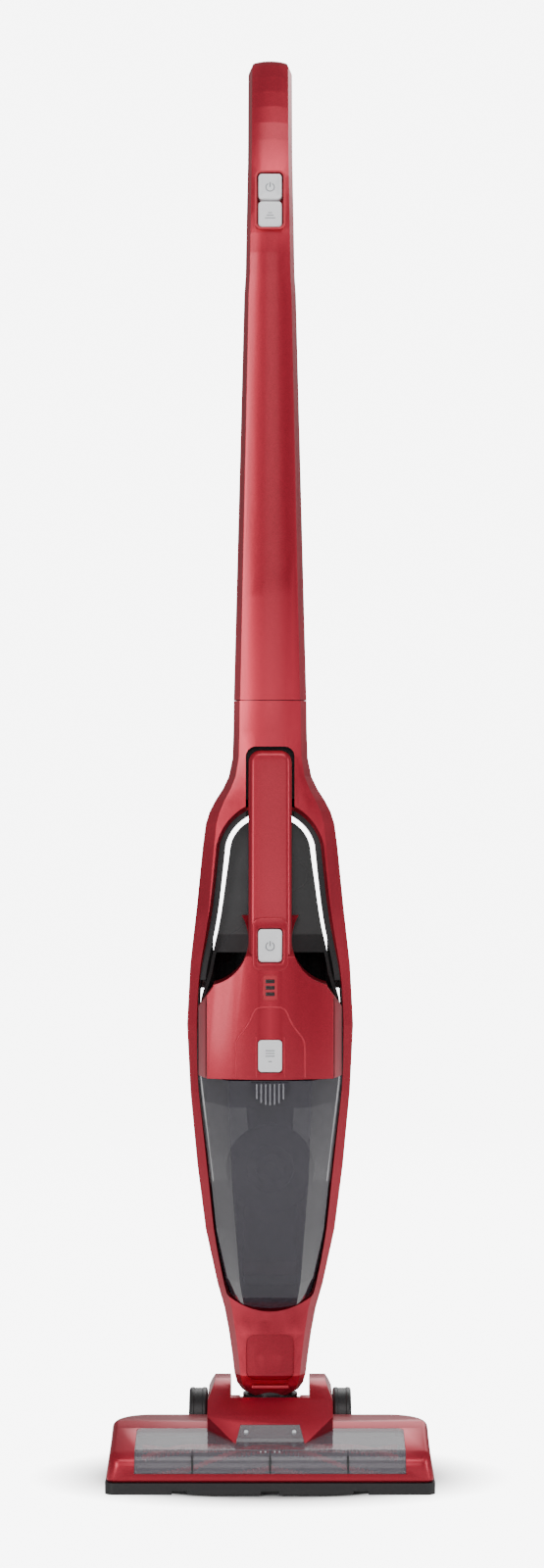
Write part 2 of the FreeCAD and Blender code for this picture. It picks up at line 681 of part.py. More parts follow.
low = dim("motor_low")
fan = rod(dim("impeller_radius"), (0, motor_y, low - 12), (0, motor_y, low - 10))
fan = fan.fuse([rod(6, (0, motor_y, low - 10.1), (0, motor_y, low - 3)),
                rod(2, (0, motor_y, low - 4), (0, motor_y, low + 15))])
for step in range(9):
    blade = block(5, dim("impeller_radius"), -0.7, 0.7, low - 10.1, low - 4)
    blade.rotate(V(0, 0, 0), V(0, 0, 1), 40 * step)
    blade.translate(V(0, motor_y, 0))
    fan = fan.fuse(blade)
shaped("impeller", fan)
shaped("hand_control_board", block(-16, 16, -48.5, -46.9, 360, 394))

# ---------------------------------------------------------------- dust cup
def cup_section(z, side, crease, front, shoulder, rear, inset):
    side -= inset
    front += inset
    rear -= inset
    crease -= 0.5 * inset
    points = [(-crease, front, z), (crease, front, z), (side, shoulder, z), (side, 2, z),
              (0.8 * side, rear, z), (-0.8 * side, rear, z), (-side, 2, z), (-side, shoulder, z)]
    return polygon(points)


def cup_body(inset):
    """Faceted tapering cup; the lower back is shallow to clear the frame's duct."""
    low = dim("cup_bottom") + inset - 2
    stations = [
        (342, 56.8, 33, -62, -24, 24), (323, 56.8, 33, -62, -24, 24),
        (262, 49.7, 31, -60, -22, 20), (240, 47, 30, -58.5, -21, 4.6), (202, 43, 27, -55, -20, 4.6),
        (162, 35.6, 24, -50, -18, 4.6), (150, 32, 22, -46, -16, 4.6), (low, 29, 20, -36, -14, 4.6),
    ]
    return Part.makeLoft([cup_section(*row, inset) for row in stations], True, True)


cup_wall = dim("cup_wall")
port_z = dim("port_z")
cup_gap = 1.0


def cup_room(inset):
    """The space the cup may fill: the frame's opening, with a floor rising to the back."""
    low = dim("cup_bottom") + inset
    rise = math.tan(math.radians(8))
    floor = along_x([(-90, low - 54 * rise), (60, low + 96 * rise), (60, 400), (-90, 400)], 90)
    return through_opening(cup_gap + inset, -90, 60).common(floor)


cup_outer = cup_body(0).common(cup_room(0)).cut(mouth_plane(0.5))
cup = cup_outer.cut(cup_body(cup_wall).common(cup_room(cup_wall)))
collar_hole = rod(dim("port_radius"), (0, -1, port_z), (0, 20, port_z))
cup = cup.cut(collar_hole)
tab = rod(15, (0, -66, 322), (0, -58, 322)).common(block(-15, 15, -66, -60, 302, 322))
thumb_tab = tab.common(block(-20, 20, -64.5, -60.1, 300, 322))
cup = cup.fuse(thumb_tab)
shaped("dust_cup", cup)
rim = cup_body(cup_wall + 0.1).common(mouth_plane(22))
skirt = rim.cut(mouth_plane(6)).cut(cup_body(cup_wall + 1.9))
plate = rim.common(mouth_plane(8)).cut(mouth_plane(4)).cut(rod(20, (0, -18, 280), (0, -18, 360)))
shaped("filter_flange", skirt.fuse(plate))
seal = cup_body(cup_wall + 0.1).common(mouth_plane(4)).cut(mouth_plane(1))
shaped("cup_seal", seal.cut(cup_body(cup_wall + 4)))
cage = Part.makeCone(14, 20, 80, V(0, -18, 232))
cage_inner = Part.makeCone(12.2, 18.2, 82, V(0, -18, 233.5))
cage = cage.cut(cage_inner).cut(mouth_plane(8))
disc = dim("disc_radius")
disc_z = dim("disc_z")
disc_y = -42
carrier = rod(9, (0, disc_y + 3, disc_z), (0, -25, disc_z))
cage = cage.fuse(carrier.cut(Part.makeCone(14, 20, 80, V(0, -18, 232))))
shaped("filter_cage", cage)
shaped("inner_filter", Part.makeCone(11, 16.5, 74, V(0, -18, 236)))
ring_body("swirl_disc", "size.disc_radius", None, "3", "XZ_Plane",
          ("0", str(disc_y + 1.5), "size.disc_z"))
chute = block(-21, 21, -14, 2.4, 156, 218)
chute = chute.cut(block(-19, 19, -12, 3, 158, 219)).fuse(block(-21, 21, 1, 2.4, 156, 218))
chute = chute.cut(collar_hole)
shaped("inlet_chute", chute)

# ---------------------------------------------------------------- floor nozzle
nozzle_half = dim("nozzle_width") / 2
front_y = dim("nozzle_front_y")
rear_y = dim("nozzle_rear_y")


def nozzle_plan(inset, z, drop=0):
    """Plan outline: small front corners, large rear corners."""
    half = nozzle_half - inset
    front = front_y + inset + drop
    rear = rear_y - inset
    small = 7
    large = 26
    bend = 1 - math.sqrt(0.5)
    edges = []
    right = [(half, front + small), (half, rear - large)]
    edges.append(line((half, right[0][1], z), (half, right[1][1], z)))
    edges.append(arc((half, rear - large, z), (half - bend * large, rear - bend * large, z),
                     (half - large, rear, z)))
    edges.append(line((half - large, rear, z), (large - half, rear, z)))
    edges.append(arc((large - half, rear, z), (bend * large - half, rear - bend * large, z),
                     (-half, rear - large, z)))
    edges.append(line((-half, rear - large, z), (-half, front + small, z)))
    edges.append(arc((-half, front + small, z), (bend * small - half, front + bend * small, z),
                     (small - half, front, z)))
    edges.append(line((small - half, front, z), (half - small, front, z)))
    edges.append(arc((half - small, front, z), (half - bend * small, front + bend * small, z),
                     (half, front + small, z)))
    return Part.Wire(edges)


def nozzle_profile(inset, low):
    """Side profile of the cover: upright lip, rounded window strip, sloping top."""
    x = -nozzle_half - 5
    front = front_y + inset
    edges = [
        line((x, front, low), (x, front, 17.4)),
        arc((x, front, 17.4), (x, front + 2.6, 27.5 - 0.5 * inset), (x, -72 + 0.6 * inset, 34 - inset)),
        line((x, -72 + 0.6 * inset, 34 - inset), (x, -25, 43 - inset)),
        line((x, -25, 43 - inset), (x, -18, 46.8 - inset)),
        arc((x, -18, 46.8 - inset), (x, -2, 49.8 - inset), (x, 9 - inset, 45 - inset)),
        line((x, 9 - inset, 45 - inset), (x, rear_y - inset, 32)),
        line((x, rear_y - inset, 32), (x, rear_y - inset, low)),
        line((x, rear_y - inset, low), (x, front, low)),
    ]
    return Part.Face(Part.Wire(edges)).extrude(V(2 * nozzle_half + 10, 0, 0))


bumper_top = dim("bumper_top")
bumper_low = dim("bumper_low")
nozzle_wall = dim("nozzle_wall")
taper = Part.makeLoft([nozzle_plan(0, bumper_top), nozzle_plan(4, 52)], True, True)
taper_inner = Part.makeLoft([nozzle_plan(nozzle_wall, bumper_top - 1),
                             nozzle_plan(nozzle_wall + 4, 52)], True, True)
cover_outer = nozzle_profile(0, bumper_top).common(taper)
cover_inner = nozzle_profile(nozzle_wall, bumper_top - 2).common(taper_inner)
window_half = dim("window_half")
aperture = block(-window_half, window_half, -90, dim("window_rear_y"), dim("window_low"), 70)
yoke_space = block(-dim("cradle_slot"), dim("cradle_slot"), -17.6, 60, bumper_top, 90)
cover = drill(cover_outer, [cover_inner, aperture, yoke_space])
shaped("nozzle_cover", cover)
window = nozzle_profile(0.1, 5).cut(nozzle_profile(2, 4))
window = window.common(block(0.3 - window_half, window_half - 0.3, -90,
                             dim("window_rear_y") - 0.2, dim("window_low") + 0.2, 70))
shaped("nozzle_window", window)
floor_plan = Part.Face(nozzle_plan(0, bumper_low)).extrude(V(0, 0, bumper_top - bumper_low))
hollow = Part.Face(nozzle_plan(nozzle_wall, 4)).extrude(V(0, 0, 20))
hollow = hollow.common(block(-130, 130, -70.4, 60, 4, 30))
slot_half = dim("slot_half")
slot = block(-slot_half, slot_half, -69.5, -35, 0, 12)
wells = []
for x in (-dim("roller_x"), dim("roller_x")):
    wells.append(block(x - 6, x + 6, -79.8, -70.2, 0, 8.6))
base = drill(floor_plan, [hollow, slot] + wells)
for x in (-71, 0, 71):
    base = base.cut(block(x - 6, x + 6, -85, -76, 0, 4) if x else block(x - 7, x + 7, -85, -76, 0, 4))
side_wall = []
for x0, x1 in ((-107.4, -105.4), (105.4, 107.4)):
    wall_piece = block(x0, x1, -69.5, -33, 3.5, 30)
    side_wall.append(wall_piece.cut(rod(4.4, (x0 - 1, dim("brush_y"), dim("brush_z")),
                                        (x1 + 1, dim("brush_y"), dim("brush_z")))))
brush_wall = block(-107.4, 107.4, -35, -33, 3.5, 38).cut(rod(13, (0, -40, 26), (0, -20, 26)))
arms = []
for x0, x1 in ((-45, -34.6), (34.6, 45)):
    arms.append(block(x0, x1, 8, 58, 4, 9.9))
    arms.append(block(x0, x1, 14.1, 58, 4, 12))
base = base.fuse([brush_wall] + side_wall + arms)
shaped("nozzle_base", base)

guard_bars = [block(x - 1.5, x + 1.5, -69.5, -35, 1, 2.4) for x in (-70, -35, 0, 35, 70)]
guard = block(-slot_half, slot_half, -69.5, -66.5, 1, 3.2).fuse(
    [block(-slot_half, slot_half, -38, -35, 1, 3.2)] + guard_bars)
shaped("brush_guard", guard)

brush_y = dim("brush_y")
brush_z = dim("brush_z")
brush_half = dim("brush_half")
pulley_x = dim("pulley_x")
shaft = rod(4, (-120, brush_y, brush_z), (120, brush_y, brush_z))
core = rod(dim("brush_core"), (-brush_half, brush_y, brush_z), (brush_half, brush_y, brush_z))
toothed = rod(dim("large_pulley"), (pulley_x - 2, brush_y, brush_z), (pulley_x + 4, brush_y, brush_z))
shaped("brush_core", core.fuse([shaft, toothed]))
ring_body("brush_bristles", "size.bristle_radius", "size.brush_core", "size.brush_half * 2 - 4",
          "YZ_Plane", ("0", "size.brush_y", "size.brush_z"))
bearing = block(115.6, 121.6, brush_y - 7, brush_y + 7, 4, 27.5)
bearing = bearing.cut(rod(4 + dim("running_gap"), (110, brush_y, brush_z), (124, brush_y, brush_z)))
shaped("brush_bearings", both(bearing))
motor_at = (dim("brush_motor_y"), dim("brush_motor_z"))
shaped("brush_motor", rod(12.5, (52, *motor_at), (100, *motor_at)).cut(
    rod(1.55, (90, *motor_at), (101, *motor_at))))
pinion = rod(dim("small_pulley"), (pulley_x - 2, *motor_at), (pulley_x + 4, *motor_at))
shaped("motor_pulley", pinion.fuse(rod(1.5, (91, *motor_at), (pulley_x, *motor_at))))


def belt_loop(grow):
    """Open belt: two wrap arcs and two straight tangents round the pulleys."""
    y1, z1 = brush_y, brush_z
    y2, z2 = motor_at
    r1 = dim("large_pulley") + grow
    r2 = dim("small_pulley") + grow
    run = math.hypot(y2 - y1, z2 - z1)
    lean = math.atan2(z2 - z1, y2 - y1)
    spread = math.acos((r1 - r2) / run)
    x = pulley_x - 1.4

    def on(y, z, radius, angle):
        return (x, y + radius * math.cos(angle), z + radius * math.sin(angle))
    top, low = lean + spread, lean - spread
    edges = [
        arc(on(y1, z1, r1, top), on(y1, z1, r1, lean + math.pi), on(y1, z1, r1, low)),
        line(on(y1, z1, r1, low), on(y2, z2, r2, low)),
        arc(on(y2, z2, r2, low), on(y2, z2, r2, lean), on(y2, z2, r2, top)),
        line(on(y2, z2, r2, top), on(y1, z1, r1, top)),
    ]
    return Part.Face(Part.Wire(edges)).extrude(V(4.8, 0, 0))


shaped("drive_belt", belt_loop(1.5).cut(belt_loop(0.3)))

# Cradle: front block over the window, horns either side of the neck.
slot_x = dim("cradle_slot")
cradle_x = dim("cradle_half")
front_block = along_x([(-56, 34), (-54, 40), (-42, 49.5), (-22, 58.5), (-18, 59), (-17, 40)],
                      cradle_x)
horn_side = [(-22, 40), (-22, 58.5), (-10, 70), (-2, 75.5), (6, dim("horn_top")),
             (28, dim("horn_top")), (42, 71), (52, 60), (58, 44), (58, 12), (14.2, 12), (14.2, 40)]
horns = along_x(horn_side, cradle_x).cut(block(-slot_x, slot_x, -40, 60, 0, 90))
cradle = front_block.fuse(horns)
for side in (-1, 1):
    bevel_cut = Part.Face(polygon([(side * 30, -60, 34), (side * 46, -60, 54),
                                   (side * 60, -60, 54), (side * 60, -60, 34)]))
    cradle = cradle.cut(bevel_cut.extrude(V(0, 44, 0)))
cradle = cradle.cut(nozzle_profile(0, -5).common(block(-90, 90, -90, 14.1, -10, 60)))
lens_face = Part.Face(polygon([(-23.5, -60, 48.5), (23.5, -60, 48.5), (27.5, -60, 36),
                               (-27.5, -60, 36)]))
lens_zone = lens_face.extrude(V(0, 20, 0))
lens = cradle.common(lens_zone).common(along_x([(-60, 20), (-60, 60), (-38, 60), (-47, 30)], 90))
cradle = cradle.cut(lens)
led_pair = both(rod(2, (19, -48, 43.5), (19, -43, 43.5)))
cradle = drill(cradle, [led_pair, rod(pin, (-60, axis_y, axis_z), (60, axis_y, axis_z)),
                        rod(pin, (-60, dim("wheel_y"), dim("wheel_radius")),
                            (60, dim("wheel_y"), dim("wheel_radius")))])
shaped("cradle", cradle)
shaped("headlight_lens", lens.cut(led_pair))
shaped("headlight_leds", led_pair)
shaped("tilt_pins", both(rod(pin, (21, axis_y, axis_z), (44, axis_y, axis_z))))
wheel_y = dim("wheel_y")
wheel_z = dim("wheel_radius")
shaped("wheel_axles", both(rod(pin, (36, wheel_y, wheel_z), (67, wheel_y, wheel_z))))
shaped("neck_hose", rod(13, (0, -35, 26), (0, -3.6, 26)).cut(rod(11, (0, -36, 26), (0, 0, 26))))
for side, name in ((-1, "right"), (1, "left")):
    wheel_x = f"{side} * size.wheel_x"
    ring_body("wheel_hub_" + name, "size.wheel_radius - 6", "size.pin_radius + size.running_gap",
              "size.wheel_width - 2", "YZ_Plane", (wheel_x, "size.wheel_y", "size.wheel_radius"))
    ring_body("tyre_" + name, "size.wheel_radius", "size.wheel_radius - 6", "size.wheel_width",
              "YZ_Plane", (wheel_x, "size.wheel_y", "size.wheel_radius"))
    ring_body("front_roller_" + name, "size.roller_radius", "1.25", "size.roller_width",
              "YZ_Plane", (f"{side} * size.roller_x", "size.roller_y", "size.roller_radius"))
roller_at = (dim("roller_y"), dim("roller_radius"))
pins = both(rod(1.2, (dim("roller_x") - 8, *roller_at), (dim("roller_x") + 8, *roller_at)))
nozzle_screws = []
for x, y in ((-118, -20), (118, -20), (-60, 4), (60, 4)):
    nozzle_screws.append(rod(2.8, (x, y, 1.4), (x, y, 4)).fuse(rod(1.4, (x, y, 3.9), (x, y, 14))))
shaped("nozzle_screws", Part.makeCompound(nozzle_screws))
for node in NODES:
    if node.Label == "nozzle_base":
        node.Shape = drill(node.Shape.fuse(pins.Solids), nozzle_screws)

# ---------------------------------------------------------------- check and export
doc.recompute()
for obj in doc.Objects:
    if "Invalid" in obj.State or "Error" in obj.State:
        raise RuntimeError("recompute failed: " + obj.Label)
os.makedirs("parts", exist_ok=True)
for node in NODES:
    if node.Shape.isNull() or not node.Shape.isValid():
        raise RuntimeError("bad shape: " + node.Label)
    node.Shape.exportStep(f"parts/{node.Label}.step")
print(len(NODES), "sub-parts written")
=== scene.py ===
"""Looks of a cordless stick vacuum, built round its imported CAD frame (metres).

The file follows the machine as it is put together: the studio, the stick, the frame loop
and neck, the lift-out hand unit, the dust cup, and last the floor nozzle.
"""
import json
import math

import bmesh
import bpy
from mathutils import Matrix, Vector

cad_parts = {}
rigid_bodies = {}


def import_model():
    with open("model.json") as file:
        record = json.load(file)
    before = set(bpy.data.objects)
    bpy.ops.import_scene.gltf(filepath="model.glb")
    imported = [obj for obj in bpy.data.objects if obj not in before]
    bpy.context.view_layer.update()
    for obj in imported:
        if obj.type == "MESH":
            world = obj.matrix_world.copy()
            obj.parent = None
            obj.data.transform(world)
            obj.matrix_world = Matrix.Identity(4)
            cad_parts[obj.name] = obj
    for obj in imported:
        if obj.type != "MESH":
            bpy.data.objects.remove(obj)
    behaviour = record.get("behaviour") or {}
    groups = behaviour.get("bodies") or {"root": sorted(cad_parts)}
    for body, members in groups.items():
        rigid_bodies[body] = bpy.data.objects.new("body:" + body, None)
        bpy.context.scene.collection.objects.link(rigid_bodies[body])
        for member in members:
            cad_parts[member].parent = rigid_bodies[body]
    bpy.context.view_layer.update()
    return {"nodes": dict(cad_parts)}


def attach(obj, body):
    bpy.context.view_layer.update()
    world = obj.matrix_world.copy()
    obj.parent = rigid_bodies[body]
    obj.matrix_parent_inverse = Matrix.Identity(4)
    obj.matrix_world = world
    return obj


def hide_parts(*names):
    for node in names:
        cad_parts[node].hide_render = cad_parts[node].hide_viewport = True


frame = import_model()
nodes = frame["nodes"]

# ------------------------------------------------------------------ studio
# A white sweep, softboxes left, right, above and ahead of the machine, and one behind it. The
# camera stands well back at half the machine's height, so the nozzle is seen from above.
STAND_BACK = 2.8
EYE_LEVEL = 0.557
VIEW_HEIGHT = math.radians(25.42)
BACKDROP_WHITE = 9.0
SWEEP_WHITE = 7.0
SHADOW_HALF_X, SHADOW_HALF_Y = 0.13, 0.09
bpy.ops.object.camera_add(location=(0.0015, -STAND_BACK, EYE_LEVEL),
                          rotation=(math.radians(90), 0, 0))
camera = bpy.context.object
camera.data.sensor_fit = "VERTICAL"
camera.data.sensor_height = 24
camera.data.angle_y = VIEW_HEIGHT
camera.data.clip_end = 30
bpy.context.scene.camera = camera

world = bpy.data.worlds.new("studio_air")
bpy.context.scene.world = world
world.use_nodes = True
air = world.node_tree
backdrop = air.nodes["Background"]
backdrop.inputs["Color"].default_value = (1, 1, 1, 1)
backdrop.inputs["Strength"].default_value = 0.3
seen = air.nodes.new("ShaderNodeBackground")
seen.inputs["Strength"].default_value = BACKDROP_WHITE
choose = air.nodes.new("ShaderNodeMixShader")
rays = air.nodes.new("ShaderNodeLightPath")
air.links.new(rays.outputs["Is Camera Ray"], choose.inputs["Fac"])
air.links.new(backdrop.outputs["Background"], choose.inputs[1])
air.links.new(seen.outputs["Background"], choose.inputs[2])
air.links.new(choose.outputs["Shader"], air.nodes["World Output"].inputs["Surface"])


def softbox(name, place, aim, size, power):
    """A rectangular soft light pointing at a spot on the machine."""
    bpy.ops.object.light_add(type="AREA", location=place)
    box_light = bpy.context.object
    box_light.name = name
    box_light.data.shape = "RECTANGLE"
    box_light.data.size, box_light.data.size_y = size
    box_light.data.energy = power
    aim_way = Vector(aim) - Vector(place)
    box_light.rotation_euler = aim_way.to_track_quat("-Z", "Y").to_euler()


softbox("left_softbox", (-1.15, -1.9, 0.9), (0, 0, 0.6), (0.5, 2.0), 24)
softbox("right_softbox", (1.7, -1.0, 0.9), (0, 0, 0.6), (0.4, 2.0), 14)
softbox("top_softbox", (0.2, -1.2, 2.6), (0, 0, 0.4), (1.6, 1.0), 16)
softbox("front_fill", (0.15, -2.9, 1.5), (0, 0, 0.5), (1.0, 1.4), 7)
softbox("rear_softbox", (0.5, 2.0, 1.6), (0, 0, 0.5), (1.6, 1.6), 20)

# The sweep glows white to the camera, except close round the nozzle, where its shadow shows.
bpy.ops.object.select_all(action="DESELECT")
bpy.ops.mesh.primitive_plane_add(size=14, location=(0, 0, -0.0005))
sweep = bpy.context.object
sweep.name = "studio_sweep"
pale = bpy.data.materials.new("pale_sweep")
pale.use_nodes = True
pale_shader = pale.node_tree.nodes["Principled BSDF"]
pale_shader.inputs["Base Color"].default_value = (0.95, 0.95, 0.95, 1)
pale_shader.inputs["Roughness"].default_value = 0.8
pale_shader.inputs["Emission Color"].default_value = (1, 1, 1, 1)
pale_rays = pale.node_tree.nodes.new("ShaderNodeLightPath")
pale_spot = pale.node_tree.nodes.new("ShaderNodeTexCoord")
pale_scale = pale.node_tree.nodes.new("ShaderNodeVectorMath")
pale_scale.operation = "MULTIPLY"
pale_scale.inputs[1].default_value = (1 / SHADOW_HALF_X, 1 / SHADOW_HALF_Y, 0)
pale_reach = pale.node_tree.nodes.new("ShaderNodeVectorMath")
pale_reach.operation = "LENGTH"
pale_fade = pale.node_tree.nodes.new("ShaderNodeMapRange")
pale_fade.inputs["From Min"].default_value = 0.95
pale_fade.inputs["From Max"].default_value = 1.5
pale_fade.inputs["To Max"].default_value = SWEEP_WHITE
pale_glow = pale.node_tree.nodes.new("ShaderNodeMath")
pale_glow.operation = "MULTIPLY"
pale_links = pale.node_tree.links
pale_links.new(pale_spot.outputs["Object"], pale_scale.inputs[0])
pale_links.new(pale_scale.outputs["Vector"], pale_reach.inputs[0])
pale_links.new(pale_reach.outputs["Value"], pale_fade.inputs["Value"])
pale_links.new(pale_fade.outputs["Result"], pale_glow.inputs[0])
pale_links.new(pale_rays.outputs["Is Camera Ray"], pale_glow.inputs[1])
pale_links.new(pale_glow.outputs["Value"], pale_shader.inputs["Emission Strength"])
sweep.data.materials.append(pale)

# ------------------------------------------------------------------ stick
# Two long ABS half shells, sprayed in satin metallic red and screwed together along the
# side parting line. They are kept as designed and get the lacquer.


def group_of(name, inputs, outputs):
    """A new shader node group with float inputs and float outputs."""
    group = bpy.data.node_groups.new(name, "ShaderNodeTree")
    for label, value in inputs:
        socket = group.interface.new_socket(label, in_out="INPUT", socket_type="NodeSocketFloat")
        socket.default_value = value
    for label in outputs:
        group.interface.new_socket(label, in_out="OUTPUT", socket_type="NodeSocketFloat")
    return group, group.nodes.new("NodeGroupInput"), group.nodes.new("NodeGroupOutput")


# Moulded grain: the fine height of a spark-eroded or sprayed skin, and a slow drift in gloss
# from handling.
moulded_grain, grain_in, grain_out = group_of(
    "moulded_grain", (("Grain Scale", 900.0), ("Drift Scale", 9.0)), ("Height", "Drift"))
grain_place = moulded_grain.nodes.new("ShaderNodeTexCoord")
fine_noise = moulded_grain.nodes.new("ShaderNodeTexNoise")
slow_noise = moulded_grain.nodes.new("ShaderNodeTexNoise")
for noise, scale, height in ((fine_noise, "Grain Scale", "Height"),
                             (slow_noise, "Drift Scale", "Drift")):
    noise.inputs["Detail"].default_value = 2.5
    moulded_grain.links.new(grain_place.outputs["Object"], noise.inputs["Vector"])
    moulded_grain.links.new(grain_in.outputs[scale], noise.inputs["Scale"])
    moulded_grain.links.new(noise.outputs["Fac"], grain_out.inputs[height])

# Lacquer flake: tiny cells that each catch the light a little more or less.
lacquer_flake, flake_in, flake_out = group_of(
    "lacquer_flake", (("Flake Scale", 2600.0),), ("Flake",))
flake_place = lacquer_flake.nodes.new("ShaderNodeTexCoord")
flake_cells = lacquer_flake.nodes.new("ShaderNodeTexVoronoi")
lacquer_flake.links.new(flake_place.outputs["Object"], flake_cells.inputs["Vector"])
lacquer_flake.links.new(flake_in.outputs["Flake Scale"], flake_cells.inputs["Scale"])
lacquer_flake.links.new(flake_cells.outputs["Color"], flake_out.inputs["Flake"])

# Painted edge highlight: the colour is made lighter on convex edges, found by pointiness, in place
# of light caught on the corners.
painted_edge_highlight, highlight_in, highlight_out = group_of("painted_edge_highlight", (("Sharpness", 9.0),), ("Highlight",))
highlight_geometry = painted_edge_highlight.nodes.new("ShaderNodeNewGeometry")
highlight_less = painted_edge_highlight.nodes.new("ShaderNodeMath")
highlight_less.operation = "SUBTRACT"
highlight_less.inputs[1].default_value = 0.5
highlight_more = painted_edge_highlight.nodes.new("ShaderNodeMath")
highlight_more.operation = "MULTIPLY"
highlight_more.use_clamp = True
painted_edge_highlight.links.new(highlight_geometry.outputs["Pointiness"], highlight_less.inputs[0])
painted_edge_highlight.links.new(highlight_less.outputs["Value"], highlight_more.inputs[0])
painted_edge_highlight.links.new(highlight_in.outputs["Sharpness"], highlight_more.inputs[1])
painted_edge_highlight.links.new(highlight_more.outputs["Value"], highlight_out.inputs["Highlight"])


def surface(name, colour, shade, rough, grain_scale=900, grain_height=0.04, drift=0.05,
            flake=False, edge_highlight=0.0, **sockets):
    """A finish whose colour runs from colour to shade with the drift, with grain in relief."""
    made = bpy.data.materials.new(name)
    made.use_nodes = True
    tree = made.node_tree
    shader = tree.nodes["Principled BSDF"]
    for key, value in sockets.items():
        shader.inputs[key.replace("_", " ")].default_value = value
    grain = tree.nodes.new("ShaderNodeGroup")
    grain.node_tree = moulded_grain
    grain.inputs["Grain Scale"].default_value = grain_scale
    blend = tree.nodes.new("ShaderNodeMix")
    blend.data_type = "RGBA"
    blend.inputs["A"].default_value = (*colour, 1)
    blend.inputs["B"].default_value = (*shade, 1)
    tint = blend.outputs["Result"]
    if flake:
        flakes = tree.nodes.new("ShaderNodeGroup")
        flakes.node_tree = lacquer_flake
        tree.links.new(flakes.outputs["Flake"], blend.inputs["Factor"])
    else:
        tree.links.new(grain.outputs["Drift"], blend.inputs["Factor"])
    # Painted edge highlight: a lighter tint of the colour is mixed in on convex edges.
    if edge_highlight:
        highlight_group = tree.nodes.new("ShaderNodeGroup")
        highlight_group.node_tree = painted_edge_highlight
        highlight_mix = tree.nodes.new("ShaderNodeMix")
        highlight_mix.data_type = "RGBA"
        highlight_mix.inputs["B"].default_value = (*[min(1, c * (1 + edge_highlight) + 0.02) for c in colour], 1)
        tree.links.new(highlight_group.outputs["Highlight"], highlight_mix.inputs["Factor"])
        tree.links.new(tint, highlight_mix.inputs["A"])
        tint = highlight_mix.outputs["Result"]
    tree.links.new(tint, shader.inputs["Base Color"])
    gloss = tree.nodes.new("ShaderNodeMapRange")
    gloss.inputs["To Min"].default_value = rough - drift
    gloss.inputs["To Max"].default_value = rough + drift
    tree.links.new(grain.outputs["Drift"], gloss.inputs["Value"])
    tree.links.new(gloss.outputs["Result"], shader.inputs["Roughness"])
    relief = tree.nodes.new("ShaderNodeBump")
    relief.inputs["Strength"].default_value = grain_height
    relief.inputs["Distance"].default_value = 0.0004
    tree.links.new(grain.outputs["Height"], relief.inputs["Height"])
    tree.links.new(relief.outputs["Normal"], shader.inputs["Normal"])
    return made


def dress(finish, *labels):
    """Give CAD nodes a finish."""
    for label in labels:
        nodes[label].data.materials.clear()
        nodes[label].data.materials.append(finish)


red_lacquer = surface("red_lacquer", (0.44, 0.012, 0.034), (0.27, 0.005, 0.016), 0.34,
                      grain_scale=1500, flake=True, edge_highlight=0.5, Metallic=0.65,
                      Coat_Weight=0.3, Coat_Roughness=0.18)
black_moulding = surface("black_moulding", (0.010, 0.010, 0.011), (0.016, 0.016, 0.018), 0.27,
                         edge_highlight=0.8)
lead_sheath = surface("lead_sheath", (0.02, 0.02, 0.02), (0.05, 0.05, 0.05), 0.5)
board_green = surface("board_lacquer", (0.02, 0.14, 0.06), (0.015, 0.1, 0.05), 0.35)
dress(red_lacquer, "stick_front_shell", "stick_rear_shell")
dress(black_moulding, "stick_spigot")
dress(lead_sheath, "stick_lead")
dress(board_green, "stick_switch_board")

# ------------------------------------------------------------------ switch panel
# A red moulded bezel holds two silver-painted keys: a dished power key above and a flat
# level key below, both square to the bend of the stick.
BEND_START = 0.9502
BEND_RADIUS = 0.3006
SWITCH_TURN = math.radians(13.8)
PANEL_FRONT = -0.0174
KEY_WIDTH, KEY_HEIGHT, KEY_DEPTH = 19.0, 22.1, 6
KEY_RISE = 0.012
silver_paint = surface("silver_paint", (0.95, 0.95, 0.97), (0.86, 0.87, 0.90), 0.32, edge_highlight=0.2,
                       grain_scale=1800, flake=True, Metallic=0.1, Coat_Weight=0.2)
mark_ink = surface("mark_ink", (0.16, 0.17, 0.19), (0.2, 0.2, 0.22), 0.5)
panel_red = surface("panel_red", (0.36, 0.012, 0.026), (0.28, 0.008, 0.018), 0.4, edge_highlight=0.4,
                    Metallic=0.5)
dress(panel_red, "switch_bezel")


def on_bend(turn):
    """The place square to the bent end of the stick, a turn round from its start."""
    out = BEND_RADIUS * (1 - math.cos(turn))
    up = BEND_START + BEND_RADIUS * math.sin(turn)
    return Matrix.Translation((0, out, up)) @ Matrix.Rotation(-turn, 4, "X")


def middle(part):
    """Centre of a corner, edge or face."""
    if hasattr(part, "co"):
        return part.co
    return sum((v.co for v in part.verts), Vector()) / len(part.verts)


def nothing_selected():
    """Leave edit mode and deselect everything, the CAD nodes included."""
    if bpy.context.mode != "OBJECT":
        bpy.ops.object.mode_set(mode="OBJECT")
    bpy.ops.object.select_all(action="DESELECT")


def only(piece):
    """Leave edit mode with just this piece selected."""
    nothing_selected()
    piece.select_set(True)
    bpy.context.view_layer.objects.active = piece


def pick(piece, kind, test):
    """In edit mode, select the corners, edges or faces that pass a test."""
    if bpy.context.mode != "EDIT_MESH":
        only(piece)
        bpy.ops.object.mode_set(mode="EDIT")
    bpy.ops.mesh.select_mode(type=kind)
    bpy.ops.mesh.select_all(action="DESELECT")
    mesh = bmesh.from_edit_mesh(piece.data)
    for part in {"VERT": mesh.verts, "EDGE": mesh.edges, "FACE": mesh.faces}[kind]:
        if test(part):
            part.select_set(True)
    mesh.select_flush_mode()
    bmesh.update_edit_mesh(piece.data)


def ease(piece, width, segments, test=lambda e: True):
    """Round the edges that pass a test, or all of them, by a width in metres."""
    pick(piece, "EDGE", test)
    bpy.ops.mesh.bevel(offset=width, segments=segments, affect="EDGES")


